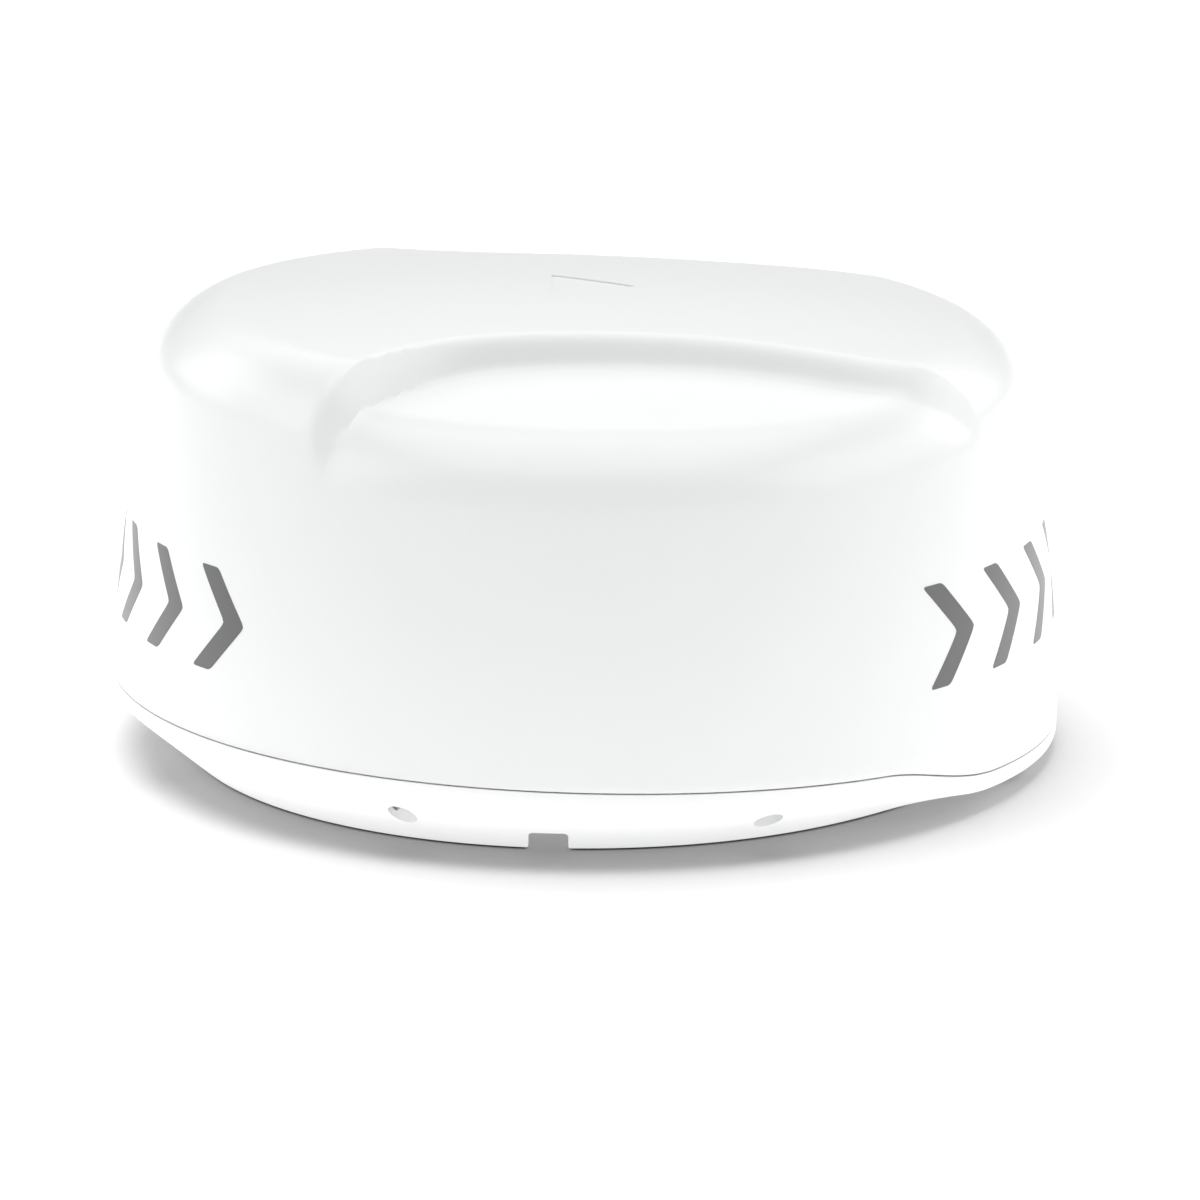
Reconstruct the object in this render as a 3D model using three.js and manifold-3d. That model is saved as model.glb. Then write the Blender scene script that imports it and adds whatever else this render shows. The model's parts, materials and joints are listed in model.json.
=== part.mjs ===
// A closed-dome marine radar: a moulded radome on a base housing, with a belt-driven array inside.
// Millimetres. +X is the bow, +Y is port, +Z is up; the origin is the middle of the foot ring.
import * as THREE from "three";
import { mergeVertices } from "three/addons/utils/BufferGeometryUtils.js";
import Module from "manifold-3d";

const wasm = await Module();
wasm.setup();

// ---- Driving dimensions ----

const clearance = 0.3; // between pieces that touch
const below = 20; // how far a cut runs on outside a piece
const around = 56; // facets round the shells
const rimRadius = 254; // the widest part, where radome and base meet
const sternHeight = 43.9; // of the parting line, which the base's depth follows

// The parting surface between radome and base: it runs fore and aft, and steps down near the bow.
const parting = {
  fall: sternHeight * 0.0615, // how far it has fallen by midships
  fallPower: 2.6,
  reference: rimRadius - 4, // half length over which the fall is counted
  step: sternHeight * 0.2506,
  stepStart: rimRadius - 104,
  stepEnd: rimRadius - 44,
  gap: 0.6, // the open line that shows between the two shells
};

const dome = {
  rimHeight: 42,
  taper: 0.074, // radius lost for each millimetre of height
  belly: 0.00048, // and for each square millimetre
  wall: 4,
  deckHeight: 244.6,
  deckFall: 0.027,
  deckBow: 0.0003,
  deckTail: 2.5e-7,
  deckCrown: 0.00034,
  corner: 30,
  cornerLoss: 6, // how much tighter the corner is at the bow
  heart: 60, // height of the point that the shell is measured from
};

// The raised deck: a spine along the centreline that opens out to the full width at the stern.
const spine = {
  halfWidth: 104,
  spread: 1.3, // sideways millimetres for each millimetre aft of the bend
  bend: -78,
  bendSoftness: 40,
  flare: 15,
  flareAt: 155,
  flareLength: 60,
  stepWidth: 15,
};

// The scooped shoulder on each side of the deck.
const shoulder = {
  drop: 20.6, // below the highest point of the deck
  from: 125, // distance from the centreline where that height is measured
  slope: 0.165,
  softness: 20,
  foreFall: 0.02,
  foreBow: 0.00027,
};

const floorThickness = 4;

const base = {
  footRadius: rimRadius - 40,
  footWidth: 6,
  footRound: 2.4,
  recess: partingHeight(rimRadius) - floorThickness - 0.2, // the hollow under the floor
  floor: floorThickness,
  band: 10, // height of the upright band under the parting line
  bandInset: 1.6,
  bandRound: 3,
  land: 8, // width of the ring that faces the radome's wall
  landFall: 0.6, // how much that ring sheds water inwards
  moatWall: 5,
  ribWidth: 3,
  ribs: 8,
  hubRadius: 44,
};

// The inner rim, which carries the seal, and the radome's flange over it.
const lip = {
  inner: rimRadius - 29,
  outer: rimRadius - 23,
  height: 3,
  grooveDepth: 2.2,
  grooveEdge: 1.4,
  gap: 1,
};
const flange = { thickness: 4, innerEdge: lip.inner - 1 };
const notch = { width: 20, height: 13.2, at: -18.5, round: 2.6, flare: 2.4, depth: 22 };
const pocket = { fore: 134 - rimRadius, aft: 52 - rimRadius, width: 90, wall: 4, ceiling: 40 };

const rimScrew = {
  count: 8,
  circle: rimRadius - 17,
  hole: 2.9,
  shank: 2.5,
  head: 6,
  headHeight: 4,
  socket: 2.5,
  socketDepth: 2,
  length: 18,
  counterbore: 7.2,
  seat: 10.5, // thickness of base under the parting line at a screw
  bossRadius: 8,
};
const rimInsert = { radius: 3.8, bore: 2.9, length: 10, bossRadius: 7.2, bossHeight: 9 };

const mounting = { across: 233, foreAft: 141.5, bossRadius: 15, radius: 5.6, bore: 4.1, length: 13 };

const chassis = {
  thickness: 3,
  height: 24,
  fore: 140,
  aft: -94,
  halfWidth: 136,
  corner: 40,
  opening: 17,
  postRadius: 6,
  postX: 88,
  postY: 116,
  screwHead: 4,
  screwHeadHeight: 2.4,
  screwShank: 2,
  screwLength: 9,
};

const pedestal = { flange: 44, flangeHeight: 6, radius: 25, height: 37, bore: 14 };
const bearing = { outer: 17.5, inner: 10.4, height: 9, shield: 0.6, race: 2.2 };
const shaft = { radius: 10, bore: 5, height: 66, lift: 2 };
const toothPitch = 4.8; // from tooth to tooth along the belt
const pulley = { teeth: 48, tooth: 1.2, pitchLine: 0.4, cheekRise: 1.6, height: 12, cheek: 2, lift: 39 };
const pinion = { teeth: 12, x: 66, y: -62 };
const idler = { radius: 13, flange: 15, x: 62, y: -14, pin: 4 };
const arm = { thickness: 4, radius: 9, postX: 86, postY: 12, foot: 14, footHeight: 3 };
const belt = { thickness: 1.5, width: 6.6 };
const motor = { side: 42, corner: 5, height: 30, boss: 11, bossHeight: 2, spindle: 2.5, below: 8, endCap: 5 };
const spindle = { length: 38, below: 24 };
const stand = { sheet: 3, gap: 3, toe: 14 }; // the motor's bracket
const encoder = { radius: 50, thickness: 1.4, slots: 18, slotLength: 5, slotWidth: 3, slotInset: 2.5 };
const sensor = { width: 14, jaw: 4, opening: 3.4, length: 24, bite: 14, overlap: 9, post: 8, postDepth: 10 };

const turntable = { hub: 20, hubHeight: 8, length: 150, depth: 66, plate: 4, corner: 12 };
const array = {
  length: (rimRadius - 48) * 2,
  height: 78,
  depth: 14,
  sheet: 2.4,
  board: 1.6,
  boardInset: 3,
  boardEnd: 4,
  front: -26,
};
const bracket = { x: 56, width: 30, sheet: 3, foot: 24, rise: 56 };
const ballast = { length: 86, depth: 18, height: 20, y: 22 };
const coupler = { flange: 14, flangeHeight: 5, stem: 4.4, cap: 9, capHeight: 14, capEdge: 3, recess: 2 };

const transceiver = { length: 136, depth: 78, height: 26, wall: 2.6, corner: 6, x: -8, y: 92 };
const lid = { thickness: 3, fins: 9, finHeight: 6, finWidth: 2, finEnd: 10, finSide: 7 };
const boardLength = 104;
const mainBoard = {
  length: boardLength,
  depth: 64,
  x: pinion.x - motor.side / 2 - stand.gap - stand.toe - boardLength / 2, // clear of the motor's bracket
  y: -86,
};
const powerBoard = { length: 70, depth: 58, x: 100, y: 62 };
const board = { thickness: 1.6, stand: 6, leg: 3, legInset: 5 };
const socket = {
  barrel: 8,
  flange: 11.5,
  nut: 11.2,
  nutHeight: 5,
  throat: 6,
  bottom: 4, // how far in the throat ends, past the wall's aft face
  spread: 44,
  height: 28,
  reach: 12,
  inboard: 12,
};
const vent = { radius: 9, stem: 5, x: 150, y: 0, height: 3 };
const coax = { radius: 1.8, x: 30, y: 46, hole: 3.2 }; // x and y are where it comes up through the plate
const loom = { radius: 3 };

const finishes = {
  gelWhite: ["#f4f5f5", 0.22, 0],
  baseWhite: ["#f1f2f2", 0.32, 0],
  rubber: ["#2b2c2d", 0.8, 0],
  steel: ["#b9bcbe", 0.3, 1],
  brass: ["#b99a56", 0.35, 1],
  castAluminium: ["#a9adb0", 0.5, 1],
  sheetAluminium: ["#c3c6c8", 0.35, 1],
  blackPlastic: ["#1f2022", 0.5, 0],
  motorBlack: ["#26282a", 0.45, 0.4],
  boardGreen: ["#1f5a3a", 0.5, 0],
  arrayBoard: ["#d8cfa6", 0.5, 0],
  copper: ["#b87346", 0.35, 1],
  greyNylon: ["#d5d4cc", 0.5, 0],
};

// ---- Working with solids ----

const part = new THREE.Group();

function add(name, geometry, finish) {
  const [color, roughness, metalness] = finishes[finish];
  const mesh = new THREE.Mesh(geometry, new THREE.MeshStandardMaterial({ color, roughness, metalness }));
  mesh.name = name;
  part.add(mesh);
}

function solid(geometry) {
  const bare = geometry.index ? geometry.toNonIndexed() : geometry.clone();
  bare.deleteAttribute("normal");
  bare.deleteAttribute("uv");
  const merged = mergeVertices(bare, 1e-4);
  const vertProperties = merged.getAttribute("position").array;
  const triVerts = new Uint32Array(merged.index.array);
  return new wasm.Manifold(new wasm.Mesh({ numProp: 3, vertProperties, triVerts }));
}

function geometryOf(manifold) {
  const mesh = manifold.getMesh();
  const geometry = new THREE.BufferGeometry();
  geometry.setAttribute("position", new THREE.BufferAttribute(mesh.vertProperties, 3));
  geometry.setIndex(new THREE.BufferAttribute(mesh.triVerts, 1));
  return geometry;
}

function joined(geometries) {
  return geometries.map(solid).reduce((whole, piece) => whole.add(piece));
}

function cut(whole, tools) {
  return tools.map(solid).reduce((left, tool) => left.subtract(tool), whole);
}

function block(length, depth, height, x, y, z) {
  return new THREE.BoxGeometry(length, depth, height).translate(x, y, z + height / 2);
}

function rod(radius, height, x, y, z, sides = 20) {
  const geometry = new THREE.CylinderGeometry(radius, radius, height, sides);
  return geometry.rotateX(Math.PI / 2).translate(x, y, z + height / 2);
}

// A profile of [radius, height] pairs turned about the vertical axis.
function turned(profile, sides = 24) {
  const points = profile.map(([radius, height]) => new THREE.Vector2(radius, height));
  return new THREE.LatheGeometry(points, sides).rotateX(Math.PI / 2);
}

function ring(outer, inner, height, sides = 24) {
  return turned([[inner, 0], [outer, 0], [outer, height], [inner, height], [inner, 0]], sides);
}

function plate(outline, thickness, z) {
  return new THREE.ExtrudeGeometry(outline, { depth: thickness, bevelEnabled: false }).translate(0, 0, z);
}

function arcPoints(x, y, radius, from, to, steps) {
  return Array.from({ length: steps + 1 }, (_, index) => {
    const angle = from + ((to - from) * index) / steps;
    return new THREE.Vector2(x + radius * Math.cos(angle), y + radius * Math.sin(angle));
  });
}

function roundedRectangle(left, right, bottom, top, corner) {
  const quarter = Math.PI / 2;
  return new THREE.Shape([
    ...arcPoints(right - corner, top - corner, corner, 0, quarter, 3),
    ...arcPoints(left + corner, top - corner, corner, quarter, quarter * 2, 3),
    ...arcPoints(left + corner, bottom + corner, corner, quarter * 2, quarter * 3, 3),
    ...arcPoints(right - corner, bottom + corner, corner, quarter * 3, quarter * 4, 3),
  ]);
}

function disc(radius, sides = 20) {
  return new THREE.Shape(arcPoints(0, 0, radius, 0, (Math.PI * 2 * (sides - 1)) / sides, sides - 1));
}

function circleHole(radius, x = 0, y = 0, sides = 16) {
  return new THREE.Path(arcPoints(x, y, radius, Math.PI * 2, (Math.PI * 2) / sides, sides - 1));
}

// A bar of round section along a smooth curve through the given points.
function bar(points, radius, steps) {
  const section = disc(radius, 8);
  const extrudePath = new THREE.CatmullRomCurve3(points.map((p) => new THREE.Vector3(...p)));
  return new THREE.ExtrudeGeometry(section, { steps, extrudePath, bevelEnabled: false });
}

// A lathe form whose rings are moved to where place(row, angle) says, as [radius, height].
function formed(rows, closed, place) {
  const onAxis = (row) => !closed && (row === 0 || row === rows - 1);
  const blank = Array.from({ length: rows + (closed ? 1 : 0) }, (_, row) => {
    return new THREE.Vector2(onAxis(row) ? 0 : 1, row);
  });
  const geometry = new THREE.LatheGeometry(blank, around);
  const position = geometry.getAttribute("position");
  for (let index = 0; index < position.count; index += 1) {
    const row = (index % blank.length) % rows;
    const turn = Math.floor(index / blank.length) % around;
    const angle = (turn / around) * Math.PI * 2;
    const [radius, height] = place(row, angle);
    position.setXYZ(index, radius * Math.cos(angle), radius * Math.sin(angle), height);
  }
  geometry.deleteAttribute("normal");
  geometry.deleteAttribute("uv");
  return mergeVertices(geometry, 1e-4);
}

// ---- The shape of the shells ----

function smoothRise(from, to, value) {
  return THREE.MathUtils.smoothstep(value, from, to);
}

function partingHeight(x) {
  const along = Math.max(0, (x + parting.reference) / parting.reference);
  const slope = parting.fall * along ** parting.fallPower;
  return sternHeight - slope - parting.step * smoothRise(parting.stepStart, parting.stepEnd, x);
}

function wallRadius(z) {
  const up = Math.max(0, z - dome.rimHeight);
  return rimRadius - dome.taper * up - dome.belly * up ** 2;
}

function deckHeight(x, y) {
  const lengthwise = dome.deckFall * x + dome.deckBow * x ** 2 + dome.deckTail * x ** 3;
  return dome.deckHeight - lengthwise - dome.deckCrown * y ** 2;
}

function shoulderHeight(x, y) {
  const out = Math.hypot(y, shoulder.softness) - shoulder.from;
  const fore = shoulder.foreFall * x + shoulder.foreBow * x ** 2;
  return dome.deckHeight - shoulder.drop - shoulder.slope * out - fore;
}

// How far a point stands outside the edge of the raised deck.
function outsideDeck(x, y) {
  const aft = x - spine.bend;
  const reach = Math.hypot(aft, spine.bendSoftness);
  const flare = spine.flare * Math.exp(-(((x - spine.flareAt) / spine.flareLength) ** 2));
  const edge = spine.halfWidth + (spine.spread * (reach - aft)) / 2 + flare;
  const bendSlope = (spine.spread * (aft / reach - 1)) / 2;
  const flareSlope = (-2 * flare * (x - spine.flareAt)) / spine.flareLength ** 2;
  return (Math.abs(y) - edge) / Math.hypot(1, bendSlope + flareSlope);
}

function roofHeight(x, y) {
  const deck = deckHeight(x, y);
  const low = Math.min(shoulderHeight(x, y), deck);
  const down = smoothRise(-spine.stepWidth / 4, (spine.stepWidth * 3) / 4, outsideDeck(x, y));
  return deck - (deck - low) * down;
}

// Less than nothing inside the shell that stands inset millimetres in from the outer face.
function outsideShell(x, y, z, inset) {
  const round = dome.corner - dome.cornerLoss * smoothRise(0, 220, x) - inset;
  const above = z - roofHeight(x, y) + inset;
  const beyond = Math.hypot(x, y) - wallRadius(z) + inset;
  if (above < -round || beyond < -round) return Math.max(above, beyond);
  return Math.hypot(above + round, beyond + round) - round;
}

// The point of a shell on the line that leaves the dome's heart at an angle and a tilt.
function shellPoint(angle, tilt, inset) {
  const out = Math.cos(tilt);
  const rise = Math.sin(tilt);
  let near = 0;
  let far = rimRadius * 1.4;
  for (let pass = 0; pass < 40; pass += 1) {
    const half = (near + far) / 2;
    const x = half * out * Math.cos(angle);
    const y = half * out * Math.sin(angle);
    if (outsideShell(x, y, dome.heart + half * rise, inset) > 0) far = half;
    else near = half;
  }
  return [near * out, dome.heart + near * rise];
}

// Rows of a shell from its crown down to a height at the wall, closer together at the corner.
function shellRow(share, angle, inset, bottom) {
  const eased = share + (0.5 * Math.sin(share * Math.PI * 2)) / (Math.PI * 2);
  const lowest = Math.atan2(bottom - dome.heart, wallRadius(bottom) - inset);
  return shellPoint(angle, Math.PI / 2 + (lowest - Math.PI / 2) * eased, inset);
}

function rimScrewPlaces() {
  return Array.from({ length: rimScrew.count }, (_, index) => {
    const angle = ((index + 0.5) / rimScrew.count) * Math.PI * 2;
    const x = rimScrew.circle * Math.cos(angle);
    return { x, y: rimScrew.circle * Math.sin(angle), seam: partingHeight(x) };
  });
}

function mountPlaces() {
  const corners = [[1, 1], [-1, 1], [-1, -1], [1, -1]];
  return corners.map(([fore, port]) => ({
    x: (fore * mounting.foreAft) / 2,
    y: (port * mounting.across) / 2,
  }));
}

// ---- The shells ----

const innerFloor = base.recess + base.floor;

function radome() {
  const outerRows = 20;
  const innerRows = 9;
  const seat = lip.height + lip.gap;
  const top = seat + flange.thickness;
  const rim = (angle, radius, rise) => [radius, partingHeight(radius * Math.cos(angle)) + rise];
  const foot = [
    [rimRadius - base.land, parting.gap / 2],
    [lip.outer + clearance * 2, parting.gap / 2],
    [lip.outer + clearance * 2, seat],
    [flange.innerEdge, seat],
    [flange.innerEdge, top],
  ];
  const rows = outerRows + foot.length + innerRows;
  const shell = formed(rows, false, (fromInside, angle) => {
    const row = rows - 1 - fromInside;
    const rimTop = partingHeight(rimRadius * Math.cos(angle));
    if (row < outerRows) return shellRow(row / (outerRows - 1), angle, 0, rimTop + parting.gap / 2);
    if (row < outerRows + foot.length) return rim(angle, ...foot[row - outerRows]);
    const share = (row - outerRows - foot.length) / (innerRows - 1);
    return shellRow(1 - share, angle, dome.wall, rimTop + top);
  });
  const bosses = rimScrewPlaces().map(({ x, y, seam }) => {
    return rod(rimInsert.bossRadius, rimInsert.bossHeight + 2, x, y, seam + top - 2, 12);
  });
  const bores = rimScrewPlaces().map(({ x, y, seam }) => {
    const radius = rimInsert.radius + clearance;
    return rod(radius, rimInsert.length + 8, x, y, seam - 8 + parting.gap / 2 + clearance * 2, 10);
  });
  const whole = bosses.map(solid).reduce((left, boss) => left.add(boss), solid(shell));
  return geometryOf(cut(whole, bores));
}

// Height of the sloping underside at a radius.
function flankHeight(angle, radius) {
  const seam = partingHeight(rimRadius * Math.cos(angle));
  const share = (radius - base.footRadius) / (rimRadius - base.bandInset - base.footRadius);
  return (seam - base.band) * share;
}

// The cable notch as seen from the side: rounded above, splayed where it meets the foot.
function notchOutline() {
  const { width, height, round, flare } = notch;
  const half = width / 2;
  const quarter = Math.PI / 2;
  return new THREE.Shape([
    new THREE.Vector2(-half - flare, -below),
    new THREE.Vector2(half + flare, -below),
    ...arcPoints(half + flare, flare, flare, -quarter, -quarter * 2, 3),
    ...arcPoints(half - round, height - round, round, 0, quarter, 3),
    ...arcPoints(-half + round, height - round, round, quarter, quarter * 2, 3),
    ...arcPoints(-half - flare, flare, flare, 0, -quarter, 3),
  ]);
}

function baseHousing() {
  const rim = rimRadius;
  const footInner = base.footRadius - base.footWidth;
  const seam = (angle, radius) => partingHeight(radius * Math.cos(angle));
  const grooveOuter = lip.outer - lip.grooveEdge;
  const grooveInner = lip.inner + lip.grooveEdge;
  const knee = rim - base.bandInset;
  const rows = [
    () => [0, base.recess],
    () => [footInner - 2, base.recess],
    () => [footInner, 0],
    () => [base.footRadius - base.footRound, 0],
    () => [base.footRadius - 0.3 * base.footRound, 0.3 * base.footRound],
    (a) => [base.footRadius + base.footRound, flankHeight(a, base.footRadius + base.footRound)],
    (a) => [knee - base.bandRound, flankHeight(a, knee - base.bandRound)],
    (a) => [knee, flankHeight(a, knee) + 0.3 * base.bandRound],
    (a) => [rim - 0.3, flankHeight(a, knee) + base.bandRound],
    (a) => [rim, seam(a, rim) - parting.gap / 2],
    (a) => [rim - base.land, seam(a, rim - base.land) - parting.gap / 2 - base.landFall],
    (a) => [rim - base.land - 1, flankHeight(a, rim - base.land - 1) + base.moatWall],
    (a) => [lip.outer, flankHeight(a, lip.outer) + base.moatWall],
    (a) => [lip.outer, seam(a, lip.outer) + lip.height],
    (a) => [grooveOuter, seam(a, grooveOuter) + lip.height],
    (a) => [grooveOuter, seam(a, grooveOuter) + lip.height - lip.grooveDepth],
    (a) => [grooveInner, seam(a, grooveInner) + lip.height - lip.grooveDepth],
    (a) => [grooveInner, seam(a, grooveInner) + lip.height],
    (a) => [lip.inner, seam(a, lip.inner) + lip.height],
    () => [lip.inner, innerFloor],
    () => [0, innerFloor],
  ];
  const shell = formed(rows.length, false, (row, angle) => rows[row](angle));
  const adds = [];
  const tools = [];

  for (const { x, y, seam: height } of rimScrewPlaces()) {
    const fore = partingHeight(x + rimScrew.bossRadius) - parting.gap / 2;
    const bottom = height - rimScrew.seat;
    adds.push(rod(rimScrew.bossRadius, fore - bottom, x, y, bottom, 12));
    tools.push(rod(rimScrew.counterbore, bottom + below, x, y, -below, 16));
    tools.push(rod(rimScrew.hole, rimScrew.length, x, y, bottom - 1, 8));
  }

  for (const { x, y } of mountPlaces()) {
    adds.push(rod(mounting.bossRadius, innerFloor - 1, x, y, 0, 18));
    tools.push(rod(mounting.radius + clearance, mounting.length + clearance + 1, x, y, -1, 12));
  }

  adds.push(ring(base.hubRadius + base.ribWidth, base.hubRadius, base.recess, 16).translate(0, 0, 1));
  for (let index = 0; index < base.ribs; index += 1) {
    const angle = ((index + 0.5) / base.ribs) * Math.PI * 2;
    const length = footInner - base.hubRadius - 3;
    const rib = block(length, base.ribWidth, base.recess - 2, base.hubRadius + 2 + length / 2, 0, 3);
    adds.push(rib.rotateZ(angle));
  }

  const wide = pocket.width + pocket.wall * 2;
  const long = pocket.fore - pocket.aft;
  const middle = (pocket.fore + pocket.aft) / 2;
  const roof = pocket.ceiling + pocket.wall;
  adds.push(block(long + pocket.wall * 2, wide, roof - innerFloor + 1, middle, 0, innerFloor - 1));
  tools.push(block(long, pocket.width, pocket.ceiling + below, middle, 0, -below));
  for (const side of [1, -1]) {
    const hole = new THREE.CylinderGeometry(socket.barrel + clearance, socket.barrel + clearance, 30, 18);
    tools.push(hole.rotateZ(Math.PI / 2).translate(pocket.fore, (side * socket.spread) / 2, socket.height));
    const channel = plate(notchOutline(), notch.depth * 2, 0).rotateX(Math.PI / 2);
    tools.push(channel.translate(notch.at, side * base.footRadius + notch.depth, 0));
  }

  for (const x of [chassis.postX, -chassis.postX]) {
    for (const y of [chassis.postY, -chassis.postY]) {
      const top = chassis.height - clearance;
      adds.push(rod(chassis.postRadius, top - innerFloor + 1, x, y, innerFloor - 1, 16));
      const depth = chassis.screwLength - chassis.thickness + 1;
      tools.push(rod(chassis.screwShank + clearance, depth + 5, x, y, top - depth, 12));
    }
  }

  tools.push(rod(vent.stem + clearance, 30, vent.x, vent.y, 0, 16));
  const whole = adds.map(solid).reduce((left, piece) => left.add(piece), solid(shell));
  return geometryOf(cut(whole, tools));
}

function rimGasket() {
  const outer = lip.outer - lip.grooveEdge - clearance;
  const inner = lip.inner + lip.grooveEdge + clearance;
  const low = lip.height - lip.grooveDepth + clearance;
  const high = lip.height + lip.gap - clearance * 2;
  const corners = [[inner, low], [outer, low], [outer, high], [inner, high]];
  return formed(corners.length, true, (row, angle) => {
    const [radius, rise] = corners[row];
    return [radius, partingHeight(radius * Math.cos(angle)) + rise];
  });
}

// ---- Fasteners ----

// A pan-head screw with a hexagon socket, head down, its shank pointing up from height 0.
function screw(head, headHeight, shank, length, socketRadius, socketDepth) {
  const body = turned([
    [0, -headHeight],
    [head * 0.72, -headHeight],
    [head, -headHeight * 0.62],
    [head, 0],
    [shank, 0],
    [shank, length],
    [0, length],
  ], 10);
  const key = rod(socketRadius, socketDepth + 1, 0, 0, -headHeight - 1, 6);
  return cut(solid(body), [key]);
}

function rimScrews() {
  rimScrewPlaces().forEach(({ x, y, seam }, index) => {
    const size = rimScrew;
    const made = screw(size.head, size.headHeight, size.shank, size.length, size.socket, size.socketDepth);
    const seat = seam - rimScrew.seat - clearance;
    add(`dome_screw_${index + 1}`, geometryOf(made).translate(x, y, seat), "steel");
    const sleeve = ring(rimInsert.radius, rimInsert.bore, rimInsert.length - clearance * 2, 10);
    const bottom = seam + parting.gap / 2 + clearance;
    add(`dome_insert_${index + 1}`, sleeve.translate(x, y, bottom), "brass");
  });
}

function mountInserts() {
  mountPlaces().forEach(({ x, y }, index) => {
    const sleeve = ring(mounting.radius, mounting.bore, mounting.length - clearance, 12);
    add(`mount_insert_${index + 1}`, sleeve.translate(x, y, clearance), "brass");
  });
}

// ---- The chassis and the drive ----

const deckTop = chassis.height + chassis.thickness; // top face of the chassis plate
const shaftFoot = deckTop + shaft.lift;
const driveBase = deckTop + pulley.lift;

function chassisPlate() {
  const { aft, fore, halfWidth, corner, thickness, height } = chassis;
  const whole = solid(plate(roundedRectangle(aft, fore, -halfWidth, halfWidth, corner), thickness, height));
  const hole = (radius, x, y, sides) => rod(radius, thickness + 2, x, y, height - 1, sides);
  const tools = [hole(chassis.opening, 0, 0, 20), hole(coax.hole, coax.x, coax.y, 12)];
  for (const x of [chassis.postX, -chassis.postX]) {
    for (const y of [chassis.postY, -chassis.postY]) {
      tools.push(hole(chassis.screwShank + clearance, x, y, 10));
    }
  }
  return geometryOf(cut(whole, tools));
}

function chassisScrews() {
  const corners = [[1, 1], [-1, 1], [-1, -1], [1, -1]];
  corners.forEach(([fore, port], index) => {
    const size = chassis;
    const made = screw(size.screwHead, size.screwHeadHeight, size.screwShank, size.screwLength, 1.4, 1.2);
    const down = geometryOf(made).rotateX(Math.PI);
    const place = [fore * chassis.postX, port * chassis.postY, deckTop + clearance];
    add(`chassis_screw_${index + 1}`, down.translate(...place), "steel");
  });
}

function pedestalBody() {
  const foot = deckTop + clearance;
  const seat = bearing.outer + clearance;
  const depth = bearing.height + clearance;
  const top = pedestal.height;
  return turned([
    [seat, 0],
    [pedestal.flange, 0],
    [pedestal.flange, pedestal.flangeHeight],
    [pedestal.radius + 4, pedestal.flangeHeight + 2],
    [pedestal.radius, pedestal.flangeHeight + 7],
    [pedestal.radius, top],
    [seat, top],
    [seat, top - depth],
    [pedestal.bore, top - depth],
    [pedestal.bore, depth],
    [seat, depth],
    [seat, 0],
  ], 24).translate(0, 0, foot);
}

function ballBearing() {
  const { outer, inner, height, shield, race } = bearing;
  return turned([
    [inner, 0],
    [inner + race, 0],
    [inner + race, shield],
    [outer - race, shield],
    [outer - race, 0],
    [outer, 0],
    [outer, height],
    [outer - race, height],
    [outer - race, height - shield],
    [inner + race, height - shield],
    [inner + race, height],
    [inner, height],
    [inner, 0],
  ], 20);
}

// Radius over the tips of a toothed wheel: the belt's pitch line runs a little outside it.
function tipRadius(wheel) {
  return (wheel.teeth * toothPitch) / (Math.PI * 2) - pulley.pitchLine;
}

function toothedWheel(size, bore) {
  const steps = size.teeth * 2;
  const tip = tipRadius(size);
  const rim = Array.from({ length: steps }, (_, index) => {
    const angle = (index / steps) * Math.PI * 2;
    const radius = tip - (index % 2) * pulley.tooth;
    return new THREE.Vector2(radius * Math.cos(angle), radius * Math.sin(angle));
  });
  const outline = new THREE.Shape(rim);
  outline.holes.push(circleHole(bore));
  const middle = plate(outline, pulley.height - pulley.cheek * 2 + 1, pulley.cheek - 0.5);
  const cheek = () => ring(tip + pulley.cheekRise, bore + 0.2, pulley.cheek, 24);
  return geometryOf(joined([
    middle,
    cheek(),
    cheek().translate(0, 0, pulley.height - pulley.cheek),
  ]));
}

const beltFacet = 0.2; // how far a straight facet of the belt cuts inside its arc

// The loop round a set of wheels in counter-clockwise order, joined by their outer tangents.
function beltOutline(wheels, grow) {
  const outline = new THREE.Shape();
  const count = wheels.length;
  const leave = wheels.map((wheel, index) => {
    const next = wheels[(index + 1) % count];
    const heading = Math.atan2(next.y - wheel.y, next.x - wheel.x);
    const spacing = Math.hypot(next.y - wheel.y, next.x - wheel.x);
    return heading - Math.acos((wheel.radius - next.radius) / spacing);
  });
  wheels.forEach((wheel, index) => {
    let from = leave[(index + count - 1) % count];
    const to = leave[index];
    while (from > to) from -= Math.PI * 2;
    const chord = Math.sqrt(8 * wheel.radius * beltFacet);
    const steps = Math.max(2, Math.ceil(((to - from) * wheel.radius) / chord));
    for (let step = 0; step <= steps; step += 1) {
      const angle = from + ((to - from) * step) / steps;
      const x = wheel.x + (wheel.radius + grow) * Math.cos(angle);
      const y = wheel.y + (wheel.radius + grow) * Math.sin(angle);
      if (index + step === 0) outline.moveTo(x, y);
      else outline.lineTo(x, y);
    }
  });
  outline.closePath();
  return outline;
}

function driveBelt() {
  const snug = clearance * 1.5;
  const wheels = [
    { x: 0, y: 0, radius: tipRadius(pulley) + snug },
    { x: pinion.x, y: pinion.y, radius: tipRadius(pinion) + snug },
    { x: idler.x, y: idler.y, radius: idler.radius + snug },
  ];
  const outline = beltOutline(wheels, belt.thickness);
  outline.holes.push(beltOutline(wheels, 0));
  return plate(outline, belt.width, driveBase + (pulley.height - belt.width) / 2);
}

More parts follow.
